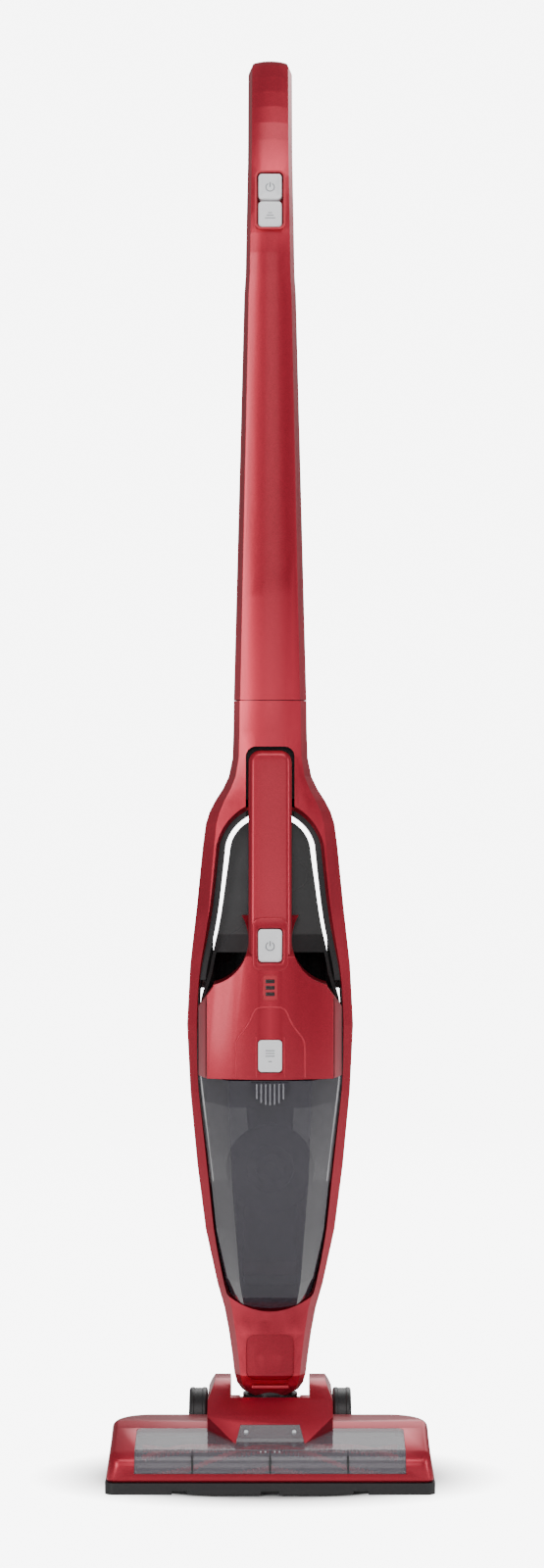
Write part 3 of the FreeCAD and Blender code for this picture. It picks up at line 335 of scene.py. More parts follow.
def slab(name, low, high):
    """A block between two corners in millimetres, ready to be shaped."""
    nothing_selected()
    bpy.ops.mesh.primitive_cube_add(size=1)
    piece = bpy.context.object
    piece.name = name
    piece.location = [(a + b) / 2000 for a, b in zip(low, high)]
    piece.scale = [(b - a) / 1000 for a, b in zip(low, high)]
    bpy.ops.object.transform_apply(location=True, rotation=True, scale=True)
    return piece


def drum(name, centre, radius, length, axis, corners=48):
    """A cylinder about one axis, with its centre and sizes in millimetres."""
    turn = {"X": (0, math.pi / 2, 0), "Y": (math.pi / 2, 0, 0), "Z": (0, 0, 0)}[axis]
    nothing_selected()
    bpy.ops.mesh.primitive_cylinder_add(vertices=corners, radius=radius / 1000,
                                        depth=length / 1000, rotation=turn,
                                        location=[c / 1000 for c in centre])
    piece = bpy.context.object
    piece.name = name
    bpy.ops.object.transform_apply(location=True, rotation=True, scale=True)
    return piece


def settle(piece, matrix):
    """Put a piece modelled at the origin in its place, inside its mesh."""
    only(piece)
    piece.matrix_world = matrix
    bpy.ops.object.transform_apply(location=True, rotation=True, scale=True)


def fit(piece, finish, body, material_slot, *stands_for, smooth=32):
    """Finish a piece: outward faces, soft shading, its material and body; material_slot is not
    used.
    """
    pick(piece, "FACE", lambda face: True)
    bpy.ops.mesh.normals_make_consistent(inside=False)
    only(piece)
    bpy.ops.object.shade_smooth_by_angle(angle=math.radians(smooth))
    piece.data.materials.clear()
    piece.data.materials.append(finish)
    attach(piece, body)
    if stands_for:
        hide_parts(*stands_for)


def joined(*pieces):
    """Join pieces into the first of them."""
    only(pieces[0])
    for piece in pieces:
        piece.select_set(True)
    bpy.ops.object.join()
    return pieces[0]


def stepped(steps, centre, axis="Y"):
    """Carry the picked face along an axis in steps, each a shrink and a distance in metres."""
    along = "XYZ".index(axis)
    for shrink, distance in steps:
        size, move = [shrink] * 3, [0.0] * 3
        size[along], move[along] = 1, distance
        bpy.ops.mesh.extrude_region_move()
        bpy.ops.transform.resize(value=size, center_override=centre)
        bpy.ops.transform.translate(value=move)


def key_cap(name, width, height, depth, dish=0.0):
    """A push key facing -Y with its front centre at the origin, in millimetres."""
    cap = slab(name, (-width / 2, 0, -height / 2), (width / 2, depth, height / 2))
    ease(cap, 0.003, 6, lambda e: abs(e.verts[0].co.y - e.verts[1].co.y) > depth / 2000)
    ease(cap, 0.0009, 4, lambda e: max(v.co.y for v in e.verts) < 0.00001)
    pick(cap, "FACE", lambda f: f.normal.y < -0.99)
    bpy.ops.mesh.inset(thickness=0.0009)
    if dish:
        bowl = ((0.88, 0.3), (0.84, 0.32), (0.78, 0.24), (0.66, 0.14))
        stepped([(shrink, dish * share / 1000) for shrink, share in bowl], (0, 0, 0))
    return cap


def power_mark(name, size):
    """The on/off sign as a flat raised mark: an open ring and a bar."""
    nothing_selected()
    bpy.ops.mesh.primitive_torus_add(major_segments=40, minor_segments=6, major_radius=size,
                                     minor_radius=size * 0.1, rotation=(math.pi / 2, 0, 0))
    ring = bpy.context.object
    ring.name = name
    bpy.ops.object.transform_apply(location=True, rotation=True, scale=True)
    pick(ring, "VERT", lambda v: v.co.z > 0 and abs(v.co.x) < size * 0.42)
    bpy.ops.mesh.delete(type="VERT")
    for side in (-1, 1):
        pick(ring, "EDGE", lambda e: e.is_boundary and middle(e).x * side > 0)
        bpy.ops.mesh.edge_face_add()
    only(ring)
    reach = size * 1000
    bar = slab(name + "_bar", (-0.1 * reach, -0.1 * reach, 0.05 * reach),
               (0.1 * reach, 0.1 * reach, 1.25 * reach))
    ease(bar, size * 0.04, 2)
    return joined(ring, bar)


def bar_marks(name, rows):
    """Short raised bars, each given as its centre height and half width."""
    bars = []
    for number, (height, half) in enumerate(rows):
        bar = slab(f"{name}_{number}", (-half, -0.2, height - 0.3), (half, 0.2, height + 0.3))
        ease(bar, 0.00012, 2)
        bars.append(bar)
    return joined(*bars) if len(bars) > 1 else bars[0]


panel_place = on_bend(SWITCH_TURN)
upper_key = key_cap("stick_power_key_cap", KEY_WIDTH, KEY_HEIGHT, KEY_DEPTH, dish=1.1)
settle(upper_key, panel_place @ Matrix.Translation((0, PANEL_FRONT, KEY_RISE)))
fit(upper_key, silver_paint, "stick_power_key", "silver_key", "stick_power_button")
upper_mark = power_mark("stick_power_mark", 0.0034)
settle(upper_mark, panel_place @ Matrix.Translation((0, PANEL_FRONT + 0.0010, 0.0115)))
fit(upper_mark, mark_ink, "stick_power_key", "silver_key")
lower_place = panel_place @ Matrix.Translation((0, PANEL_FRONT, -KEY_RISE))
lower_key = key_cap("stick_level_key_cap", KEY_WIDTH, KEY_HEIGHT, KEY_DEPTH)
settle(lower_key, lower_place)
fit(lower_key, silver_paint, "stick_level_key", "silver_key", "stick_level_button")
lower_mark = bar_marks("stick_level_mark", ((-3.4, 4.2), (-1.2, 2.9), (1.0, 1.6)))
settle(lower_mark, lower_place)
fit(lower_mark, mark_ink, "stick_level_key", "silver_key")

# ------------------------------------------------------------------ grip pad
# A black TPE pad is let into the back of the grip. Low cross ribs are moulded on it so that
# the hand doesn't slide.
soft_grip = surface("soft_grip", (0.014, 0.014, 0.015), (0.022, 0.022, 0.024), 0.72,
                    grain_scale=500, grain_height=0.3)
dress(soft_grip, "grip_pad")
FIRST_RIB_TURN, RIB_STEP, RIB_COUNT = 17, 1.85, 11
grip_ribs = []
for count in range(RIB_COUNT):
    turn = math.radians(FIRST_RIB_TURN + RIB_STEP * count)
    rib = slab(f"grip_rib_{count}", (-9.5, 17.0, -0.7), (9.5, 18.15, 0.7))
    ease(rib, 0.0005, 3, lambda e: abs(e.verts[0].co.x - e.verts[1].co.x) < 0.001)
    settle(rib, on_bend(turn))
    grip_ribs.append(rib)
fit(joined(*grip_ribs), soft_grip, "frame", "soft_rubber")

# ------------------------------------------------------------------ frame loop
# The red front shell and the black rear shell clip together round the opening that holds
# the hand unit. The rear one is polished black ABS, and a panel closes its air duct.
dress(red_lacquer, "frame_front_shell")
dress(black_moulding, "frame_rear_shell", "frame_back_panel", "handle_recess_liner",
      "frame_air_duct")
seal_rubber = surface("seal_rubber", (0.02, 0.02, 0.021), (0.03, 0.03, 0.032), 0.65)
plated_steel = surface("plated_steel", (0.52, 0.52, 0.54), (0.42, 0.42, 0.44), 0.3,
                       Metallic=1.0)
dress(seal_rubber, "duct_seal")


def cut_with(piece, tool, operation="DIFFERENCE"):
    """Apply one solid to another and remove the tool."""
    only(piece)
    change = piece.modifiers.new("change", "BOOLEAN")
    change.operation = operation
    change.object = tool
    change.solver = "EXACT"
    bpy.ops.object.modifier_apply(modifier="change")
    bpy.data.objects.remove(tool)


def screw_head(name, x, z, back, radius, sunk):
    """A cross-recess pan head facing +Y, with its shank let into the housing."""
    head = drum(name, (x, back - sunk / 2, z), radius, sunk, "Y", corners=24)
    ease(head, radius * 0.00028, 3, lambda e: min(v.co.y for v in e.verts) > (back - 0.01) / 1000)
    for wide, tall in ((0.56, 0.13), (0.13, 0.56)):
        cut_with(head, slab(name + "_cross", (x - radius * wide, back - 0.9, z - radius * tall),
                            (x + radius * wide, back + 1, z + radius * tall)))
    return head


panel_screws = [screw_head("panel_screw", x, z, 29.9, 2.5, 4.2)
                for x, z in ((20, 222), (-20, 222), (26, 160), (-26, 160))]
fit(joined(*panel_screws), plated_steel, "frame", "steel_part", "back_panel_screws")

# Small black webs close the corners of the opening behind the hand unit.
webs = []
for side in (-1, 1):
    web = slab("opening_web", (46, 12, 392), (59, 15.5, 434))
    pick(web, "VERT", lambda v: v.co.z > 0.42 and v.co.x > 0.05)
    bpy.ops.transform.translate(value=(-0.005, 0, 0))
    ease(web, 0.0005, 2)
    settle(web, Matrix.Scale(side, 4, (1, 0, 0)))
    webs.append(web)
fit(joined(*webs), black_moulding, "frame", "black_plastic")

# A low moulded lip sits across the foot of the red cover, just over the neck.
foot_lip = slab("cover_foot_lip", (-15, -22.2, 73.4), (15, -18, 76.2))
ease(foot_lip, 0.0012, 4)
fit(foot_lip, red_lacquer, "frame", "red_shell")

# ------------------------------------------------------------------ neck
# The black acetal knuckle that tilts on steel pins, and swivels round its spigot inside the
# foot of the frame. A flexible hose carries the air behind it.


def thicken(piece, thickness):
    """Give an open skin a wall, in metres, on its inner side."""
    only(piece)
    wall = piece.modifiers.new("wall", "SOLIDIFY")
    wall.thickness = thickness
    wall.offset = -1
    bpy.ops.object.modifier_apply(modifier="wall")


dress(black_moulding, "neck_knuckle")
dress(plated_steel, "tilt_pins", "wheel_axles")
nothing_selected()
bpy.ops.mesh.primitive_circle_add(vertices=40, radius=0.0118, rotation=(math.pi / 2, 0, 0),
                                  location=(0, -0.0348, 0.026))
hose = bpy.context.object
hose.name = "corrugated_hose"
bpy.ops.object.transform_apply(location=True, rotation=True, scale=True)
pick(hose, "EDGE", lambda e: True)
HOSE_STEPS, HOSE_LENGTH, HOSE_SWELL = 24, 0.0311, 1.09
for step in range(HOSE_STEPS):
    swell = HOSE_SWELL if step % 2 == 0 else 1 / HOSE_SWELL
    bpy.ops.mesh.extrude_edges_move()
    bpy.ops.transform.translate(value=(0, HOSE_LENGTH / HOSE_STEPS, 0))
    bpy.ops.transform.resize(value=(swell, 1, swell), center_override=(0, 0, 0.026))
thicken(hose, 0.0009)
fit(hose, seal_rubber, "nozzle", "soft_rubber", "neck_hose", smooth=50)

# ------------------------------------------------------------------ hand unit
# The lift-out cleaner: a red hood with its grip bar in front, and a black rear body that
# holds the cells. Both are ABS; the two halves meet along the side of the hood.
dress(black_moulding, "hand_rear_shell", "exhaust_grille")
dress(plated_steel, "fan_motor")
dress(board_green, "hand_control_board")
cell_wrap = surface("cell_wrap", (0.02, 0.10, 0.22), (0.015, 0.07, 0.16), 0.35)
grey_moulding = surface("grey_moulding", (0.055, 0.055, 0.062), (0.04, 0.04, 0.046), 0.45)
contact_brass = surface("contact_brass", (0.55, 0.38, 0.13), (0.42, 0.28, 0.1), 0.3, Metallic=1.0)
dress(cell_wrap, "battery_cells")
dress(grey_moulding, "motor_mount", "impeller")
dress(contact_brass, "charge_socket")


def skin_of(label, x, z, way=1):
    """Where a node's front face lies at a place in millimetres, or its rear one with way -1."""
    start = Vector((x / 1000, -0.3 * way, z / 1000))
    place = nodes[label].ray_cast(start, Vector((0, way, 0)))[1]
    return place.y * 1000


def bead(name, label, route, radius, proud=0.25):
    """A raised moulded bead that follows the front of a node through (x, z) points."""
    nothing_selected()
    points = [(x / 1000, (skin_of(label, x, z) - proud) / 1000, z / 1000) for x, z in route]
    bpy.ops.curve.primitive_nurbs_path_add()
    line = bpy.context.object
    line.name = name
    line.data.splines.clear()
    spline = line.data.splines.new("NURBS")
    spline.points.add(len(points) - 1)
    for slot, place in zip(spline.points, points):
        slot.co = (*place, 1)
    spline.use_endpoint_u = True
    spline.order_u = 3
    spline.resolution_u = 6
    line.data.bevel_depth = radius / 1000
    line.data.bevel_resolution = 2
    line.data.use_fill_caps = True
    bpy.ops.object.convert(target="MESH")
    return bpy.context.object


def mirror_route(route):
    """A route from one side, over the middle, to the other side."""
    return route + [(-x, z) for x, z in reversed(route)]


def soften(piece, width, angle=35, segments=4):
    """Round every edge sharper than an angle, width in millimetres."""
    only(piece)
    round_off = piece.modifiers.new("soften", "BEVEL")
    round_off.width = width / 1000
    round_off.segments = segments
    round_off.limit_method = "ANGLE"
    round_off.angle_limit = math.radians(angle)
    bpy.ops.object.modifier_apply(modifier="soften")


def rounded_box(name, low, high, corner, axis=1):
    """A block with its four edges along one axis rounded."""
    box = slab(name, low, high)
    ease(box, corner / 1000, 6, lambda e: abs(e.verts[0].co[axis] - e.verts[1].co[axis]) > 0.0005)
    only(box)
    return box


# Hood: a crowned block with hollow shoulders, joined to the rising grip bar, then bored for
# its two keys and hollowed for the fan.
HOOD_FRONT, HOOD_HALF, CREASE_X = -62.0, 56.9, 50.0
hood = slab("hood", (-HOOD_HALF, HOOD_FRONT, 316), (HOOD_HALF, -2.1, 452))
for x in (-CREASE_X, -40, -30, -20, -10, 0, 10, 20, 30, 40, CREASE_X):
    pick(hood, "FACE", lambda f: True)
    bpy.ops.mesh.bisect(plane_co=(x / 1000, 0, 0), plane_no=(1, 0, 0))
for x in (10, 20, 30, 40, CREASE_X, HOOD_HALF):
    sink = 7.5 * (x / CREASE_X) ** 2 if x <= CREASE_X else 25
    pick(hood, "VERT", lambda v: abs(abs(v.co.x) - x / 1000) < 0.0002 and v.co.y < -0.03)
    bpy.ops.transform.translate(value=(0, sink / 1000, 0))
only(hood)
for side in (-1, 1):
    corner = slab("shoulder_corner", (side * 57 - 12, -90, 397), (side * 57 + 12, 10, 440))
    pick(corner, "VERT", lambda v: v.co.z < 0.41 and v.co.x * side > 0.057)
    bpy.ops.transform.translate(value=(0, 0, -0.034))
    only(corner)
    cut_with(hood, corner)
    cut_with(hood, drum("shoulder", (side * 52.6, -30, 433), 35.4, 90, "Y", 64))
pick(hood, "FACE", lambda f: True)
bpy.ops.mesh.bisect(plane_co=(0, -0.062, 0.3238), plane_no=(0, -math.sin(math.radians(4)),
                    math.cos(math.radians(4))), clear_inner=True, use_fill=True)
pick(hood, "FACE", lambda f: True)
bpy.ops.mesh.bisect(plane_co=(0, -0.062, 0.420), plane_no=(0, -0.62, 0.78), clear_outer=True,
                    use_fill=True)
soften(hood, 3.2, angle=50, segments=5)
bar = slab("grip_bar", (-17.2, -59.5, 405), (17.2, -34, 424))
BAR_RISE = ((460, 4.0, 3.5), (495, 7.5, 7.5), (530, 9.0, 9.0), (560, 7.0, 6.0), (584, 6.0, 4.0))
level_z = 424
for height, ahead, behind in BAR_RISE:
    pick(bar, "FACE", lambda f: f.normal.z > 0.7)
    bpy.ops.mesh.extrude_region_move()
    bpy.ops.transform.translate(value=(0, 0, (height - level_z) / 1000))
    pick(bar, "VERT", lambda v: v.co.z > height / 1000 - 0.001 and v.co.y < 0)
    tops = sorted({round(v.co.y, 5) for v in bmesh.from_edit_mesh(bar.data).verts if v.select})
    for edge_y, shift in ((tops[-1], behind), (tops[0], ahead)):
        pick(bar, "VERT", lambda v: v.co.z > height / 1000 - 0.001 and abs(v.co.y - edge_y) < 2e-5)
        bpy.ops.transform.translate(value=(0, shift / 1000, 0))
    level_z = height
ease(bar, 0.0095, 8, lambda e: min(v.co.z for v in e.verts) > 0.5835
     and abs(e.verts[0].co.y - e.verts[1].co.y) > 0.005)
ease(bar, 0.0048, 6, lambda e: len(e.link_faces) == 2 and e.calc_face_angle(0) > 0.9
     and middle(e).z > 0.407)
cut_with(hood, bar, "UNION")
cut_with(hood, rounded_box("fan_room", (-51, -53.5, 310), (51, 5, 396), 12))
cut_with(hood, rounded_box("power_pocket", (-9.9, -70, 416), (9.9, -51.6, 443), 3.2))
cut_with(hood, rounded_box("release_pocket", (-9.9, -70, 329.4), (9.9, -54.7, 355.7), 3.2))
fit(hood, red_lacquer, "hand_unit", "red_shell", "hand_hood", smooth=28)
nodes["hand_hood"] = hood

# Two low steps are moulded over the release key: an arch and a narrower waist above it.
arch = bead("release_arch", "hand_hood", mirror_route(
    [(27.5, 325.5), (27.5, 340), (27.3, 352), (25.5, 357), (19.5, 364), (15.5, 371),
     (13.2, 377), (10.5, 380.4), (5, 381)]), 0.8, proud=-0.35)
fit(arch, red_lacquer, "hand_unit", "red_shell", smooth=60)
for side in (-1, 1):
    crease = bead(f"hood_crease_{'left' if side > 0 else 'right'}", "hand_hood",
                  [(side * x, z) for x, z in
                   ((11.2, 326), (11.2, 334), (11.2, 352), (11.2, 357.6))], 0.45, proud=-0.2)
    fit(crease, red_lacquer, "hand_unit", "red_shell", smooth=60)


# The power key sits in a raised rounded collar that follows the slope of the bar.
power_collar = rounded_box("power_collar", (-14.2, -62.2, 409.5), (14.2, -55, 451.5), 6.5)
pick(power_collar, "VERT", lambda v: v.co.z > 0.4305)
bpy.ops.transform.translate(value=(0, 0.0022, 0))
only(power_collar)
cut_with(power_collar, rounded_box("collar_hole", (-10.2, -70, 415.6), (10.2, -40, 443.4), 3.6))
soften(power_collar, 1.1, angle=40, segments=4)
fit(power_collar, red_lacquer, "hand_unit", "red_shell")

hand_key = key_cap("hand_power_key_cap", 18.9, 26, 5.6, dish=0.5)
settle(hand_key, Matrix.Translation((0, -0.0601, 0.4295)))
fit(hand_key, silver_paint, "hand_power_key", "silver_key", "hand_power_button")
hand_mark = power_mark("hand_power_mark", 0.0033)
settle(hand_mark, Matrix.Translation((0, -0.0598, 0.429)))
fit(hand_mark, mark_ink, "hand_power_key", "silver_key")

release_place = Matrix.Translation((0, -0.0627, 0.3426))
release_key = key_cap("cup_release_key_cap", 18.9, 25.3, 5.6)
settle(release_key, release_place)
fit(release_key, silver_paint, "cup_release_key", "silver_key", "cup_release_button")
release_mark = bar_marks("cup_release_mark", ((4.4, 3.6), (2.2, 3.6), (0.0, 3.6), (-4.2, 1.4)))
settle(release_mark, release_place)
fit(release_mark, mark_ink, "cup_release_key", "silver_key")

# The battery gauge: three dark bars behind a clear oval, with its faint outline.
gauge_dark = surface("gauge_dark", (0.02, 0.012, 0.014), (0.03, 0.02, 0.02), 0.2)
front = skin_of("hand_hood", 0, 385) - 0.1
gauge_bars = []
for height in (391.5, 396.5, 401.5):
    light_bar = slab("gauge_bar", (-3.6, front - 0.3, height - 1.5),
                     (3.6, front + 1.2, height + 1.5))
    ease(light_bar, 0.0003, 2)
    gauge_bars.append(light_bar)
fit(joined(*gauge_bars), gauge_dark, "hand_unit", "black_plastic")
gauge_ring = bead("gauge_outline", "hand_hood",
                  [(5.6, 389), (5.6, 404), (4.6, 406.6), (0, 407.2), (-4.6, 406.6), (-5.6, 404),
                   (-5.6, 389), (-4.6, 386.6), (0, 386), (4.6, 386.6), (5.6, 389)], 0.3, proud=0.0)
fit(gauge_ring, panel_red, "hand_unit", "red_shell", smooth=60)
dress(panel_red, "battery_gauge")

# Four cross-head screws hold the rear body to the hood.
hand_screws = [screw_head("hand_screw", x, z, skin_of("hand_screws", x, z + 1, -1), 2.6, 4)
               for x, z in ((22, 434), (-22, 434), (40, 346), (-40, 346))]
fit(joined(*hand_screws), plated_steel, "hand_unit", "steel_part", "hand_screws")

# Thin moulded louvres stand in the exhaust opening.
louvres = []
for count in range(7):
    height = 376.5 + 5.5 * count
    louvre = slab("exhaust_louvre", (-20.5, 29.5, height - 0.7), (20.5, 34.6, height + 0.7))
    ease(louvre, 0.0005, 3)
    louvres.append(louvre)
fit(joined(*louvres), black_moulding, "hand_unit", "black_plastic")

# ------------------------------------------------------------------ dust cup
# A smoky clear cup that unlatches from the hood. Its filter stands inside under a dark
# flange, and a round swirl plate throws the dust to the wall.
def see_through(name, colour, shade, rough, alpha, coat=0.6):
    """Tinted clear plastic: glossy skin, part transparent, faint drift of haze."""
    made = surface(name, colour, shade, rough, grain_height=0.0, drift=0.02, Alpha=alpha,
                   Coat_Weight=coat, Coat_Roughness=0.04)
    tree = made.node_tree
    haze = tree.nodes.new("ShaderNodeMapRange")
    haze.inputs["To Min"].default_value = alpha - 0.06
    haze.inputs["To Max"].default_value = alpha + 0.06
    drift = next(n for n in tree.nodes if n.type == "GROUP")
    tree.links.new(drift.outputs["Drift"], haze.inputs["Value"])
    tree.links.new(haze.outputs["Result"], tree.nodes["Principled BSDF"].inputs["Alpha"])
    return made


smoky_cup = see_through("smoky_cup", (0.040, 0.038, 0.050), (0.055, 0.050, 0.066), 0.10, 0.76)
tab_clear = see_through("tab_clear", (0.50, 0.50, 0.54), (0.42, 0.42, 0.46), 0.12, 0.45)
frosted_disc = see_through("frosted_disc", (0.30, 0.30, 0.36), (0.25, 0.25, 0.30), 0.3, 0.8)
filter_felt = surface("filter_felt", (0.55, 0.55, 0.57), (0.44, 0.44, 0.47), 0.9,
                      grain_scale=2200, grain_height=0.6)
dress(smoky_cup, "dust_cup")
dress(grey_moulding, "filter_flange", "filter_cage", "inlet_chute")
dress(seal_rubber, "cup_seal")

# Skirt of the filter flange, seen as a dark band behind the cup's rim. It is cut from the
# cup's own inner wall so that it follows the facets.
only(nodes["dust_cup"])
bpy.ops.object.duplicate()
skirt = bpy.context.object
skirt.name = "flange_skirt"
pick(skirt, "VERT", lambda v: True)
bpy.ops.mesh.remove_doubles(threshold=0.00001)
for height, below in ((0.3005, True), (0.3150, False)):
    pick(skirt, "FACE", lambda f: True)
    bpy.ops.mesh.bisect(plane_co=(0, 0, height), plane_no=(0, 0.12, 1), clear_inner=below,
                        clear_outer=not below)
pick(skirt, "FACE", lambda f: True)
bpy.ops.mesh.separate(type="LOOSE")
strips = [o for o in bpy.context.view_layer.objects if o.name.startswith("flange_skirt")]
bpy.ops.object.mode_set(mode="OBJECT")
strips.sort(key=lambda o: o.dimensions.x)
for spare in strips[1:]:
    bpy.data.objects.remove(spare)
skirt = strips[0]
skirt.name = "flange_skirt"
skirt.data.materials.clear()
only(skirt)
pick(skirt, "FACE", lambda f: True)
bpy.ops.mesh.normals_make_consistent(inside=False)
bpy.ops.transform.shrink_fatten(value=-0.0004)
thicken(skirt, 0.0012)
fit(skirt, grey_moulding, "cup", "grey_plastic")

# Thumb tab: clear ribs under the release key.
tab_ribs = []
for count in range(7):
    x = -10.5 + 3.5 * count
    drop = 318.5 - 14.5 * math.sqrt(max(0.05, 1 - (x / 14) ** 2))
    rib = slab("tab_rib", (x - 0.7, -65.4, drop), (x + 0.7, -62.5, 321))
    ease(rib, 0.0005, 3)
    tab_ribs.append(rib)
fit(joined(*tab_ribs), tab_clear, "cup", "clear_plastic")

# Swirl plate: a shallow stepped disc with a rolled edge.
swirl = drum("swirl_plate", (0, -40.5, 252), 35, 2.8, "Y", corners=72)
ease(swirl, 0.0007, 3, lambda e: e.calc_face_angle(0) > 1)
pick(swirl, "FACE", lambda f: f.normal.y < -0.99 and len(f.verts) > 20)
stepped(((0.94, 0), (0.96, 0.0008), (0.62, 0), (0.94, -0.0012), (0.66, 0), (0.9, 0.0012),
         (0.6, 0), (0.9, -0.0008)), (0, 0, 0.252))
fit(swirl, frosted_disc, "cup", "grey_plastic", "swirl_disc")

# The pleated paper filter: a cone folded into pleats.
PLEAT_CORNERS, FILTER_Y, FILTER_Z = 56, -0.018, 0.273
nothing_selected()
bpy.ops.mesh.primitive_cone_add(vertices=PLEAT_CORNERS, radius1=0.0125, radius2=0.0163,
                                depth=0.0735, location=(0, FILTER_Y, FILTER_Z))
pleats = bpy.context.object
pleats.name = "pleated_filter"
bpy.ops.object.transform_apply(location=True, rotation=True, scale=True)


def every_other(v):
    """True on the corners that fold inwards."""
    turn = math.atan2(v.co.y - FILTER_Y, v.co.x) / math.tau * PLEAT_CORNERS
    return round(turn) % 2 == 0


pick(pleats, "VERT", every_other)
bpy.ops.transform.resize(value=(0.84, 0.84, 1), center_override=(0, FILTER_Y, FILTER_Z))
fit(pleats, filter_felt, "cup", "filter_felt", "inner_filter", smooth=10)

# A red collar lines the air inlet low in the cup.
inlet_collar = slab("inlet_collar", (-21.6, -15.2, 163), (21.6, -11.5, 175))
ease(inlet_collar, 0.0012, 3)
fit(inlet_collar, red_lacquer, "cup", "red_shell")

# ------------------------------------------------------------------ floor nozzle
# The red cover snaps over a black base with a soft bumper lip. A smoky window shows the
# brush, and is split by a bent strip of clear plastic along its front edge.
bumper_black = surface("bumper_black", (0.013, 0.013, 0.014), (0.02, 0.02, 0.021), 0.5,
                       grain_scale=700, grain_height=0.15)
window_smoke = see_through("window_smoke", (0.24, 0.22, 0.25), (0.20, 0.18, 0.21), 0.12, 0.42)
dress(bumper_black, "nozzle_base")
dress(black_moulding, "brush_guard", "brush_bearings")
dress(window_smoke, "nozzle_window")
dress(plated_steel, "nozzle_screws", "brush_motor", "motor_pulley")
dress(seal_rubber, "drive_belt")

# Cover: a wedge with a rounded nose and rounded rear corners, shelled, and cut for the
# window and for the cradle.
cover = slab("nozzle_cover_shell", (-129.4, -81.9, 10.1), (129.4, 13.9, 50))
for y in (-72, -25, -18):
    pick(cover, "FACE", lambda f: True)
    bpy.ops.mesh.bisect(plane_co=(0, y / 1000, 0), plane_no=(0, 1, 0))
for y, z in ((-81.9, 26.5), (-72, 34.0), (-25, 43.0), (-18, 46.8), (13.9, 47.5)):
    pick(cover, "VERT", lambda v: v.co.z > 0.02 and abs(v.co.y - y / 1000) < 0.0003)
    bpy.ops.transform.translate(value=(0, 0, (z - 50) / 1000))
for side in (-1, 1):
    ease(cover, 0.030, 12, lambda e: abs(e.verts[0].co.z - e.verts[1].co.z) > 0.01
         and middle(e).x * side > 0.1 and middle(e).y > 0.01)
    ease(cover, 0.008, 6, lambda e: abs(e.verts[0].co.z - e.verts[1].co.z) > 0.01
         and middle(e).x * side > 0.1 and middle(e).y < -0.08)
    pick(cover, "VERT", lambda v: v.co.z > 0.02 and v.co.x * side > 0.08)
    bpy.ops.transform.translate(value=(-side * 0.004, 0, 0))
soften(cover, 4.0, angle=28, segments=5)
pick(cover, "FACE", lambda f: f.normal.z < -0.9)
bpy.ops.mesh.delete(type="FACE")
thicken(cover, 0.0025)
pane = rounded_box("pane_cut", (-106.4, -95, 17.3), (106.4, -25.4, 60), 5, axis=2)
cut_with(cover, pane)
cut_with(cover, slab("neck_cut", (-34.5, -17.6, 5), (34.5, 30, 80)))
fit(cover, red_lacquer, "nozzle", "red_shell", "nozzle_cover", smooth=30)

# Cradle: a chamfered U that carries the neck, with the headlight let into its front.
cradle = slab("neck_cradle", (-50, -56, 30), (50, 57.5, 76.4))
pick(cradle, "FACE", lambda f: True)
for place, way in (((0, -56, 37), (0, -0.62, 0.78)), ((0, -30, 57.5), (0, -0.60, 0.80)),
                   ((0, -14, 70), (0, -0.42, 0.91)), ((0, 40, 74), (0, 0.40, 0.92)),
                   ((0, 54, 60), (0, 0.93, 0.36)), ((-50, 0, 64), (-0.92, 0, 0.40)),
                   ((50, 0, 64), (0.92, 0, 0.40)), ((-29, -55, 36), (-0.74, -0.55, -0.25)),
                   ((29, -55, 36), (0.74, -0.55, -0.25))):
    pick(cradle, "FACE", lambda f: True)
    bpy.ops.mesh.bisect(plane_co=[c / 1000 for c in place], plane_no=way, clear_outer=True,
                        use_fill=True)
only(cradle)
cut_with(cradle, slab("neck_room", (-24, -17.4, 0), (24, 70, 90)))
cut_with(cradle, slab("slot_room", (-31.8, -6, 0), (31.8, 70, 90)))
cut_with(cradle, slab("upper_room", (-31.8, -40, 66), (31.8, 70, 90)))
cut_with(cradle, slab("under_cut", (-60, -60, 0), (60, 14.1, 33)))
lens_cut = slab("lens_cut", (-23.5, -62, 34), (23.5, -41, 48.6))
pick(lens_cut, "VERT", lambda v: v.co.z < 0.04)
bpy.ops.transform.resize(value=(1.18, 1, 1), center_override=(0, 0, 0))
only(lens_cut)
cut_with(cradle, lens_cut)
soften(cradle, 2.4, angle=25, segments=4)
fit(cradle, red_lacquer, "nozzle", "red_shell", "cradle", smooth=30)

# Dark ribs stiffen the front strip of the window from behind.
strip_ribs = []
for x in (-61, 0, 61):
    rib = slab("strip_rib", (x - 0.8, -81.95, 17.6), (x + 0.8, -78.5, 24.5))
    pick(rib, "FACE", lambda f: f.normal.z > 0.9)
    bpy.ops.mesh.extrude_region_move()
    bpy.ops.transform.translate(value=(0, 0.0028, 0.0045))
    bpy.ops.mesh.extrude_region_move()
    bpy.ops.transform.translate(value=(0, 0.0062, 0.0041))
    ease(rib, 0.0003, 2, lambda e: abs(e.verts[0].co.x - e.verts[1].co.x) < 0.0001)
    strip_ribs.append(rib)
fit(joined(*strip_ribs), bumper_black, "nozzle", "black_plastic")

# A raised line moulded across the window where the front strip turns into the top.
fold = slab("window_fold", (-106, -72.9, 33.6), (106, -71.2, 34.7))
ease(fold, 0.0004, 3)
fit(fold, window_smoke, "nozzle", "smoked_clear")

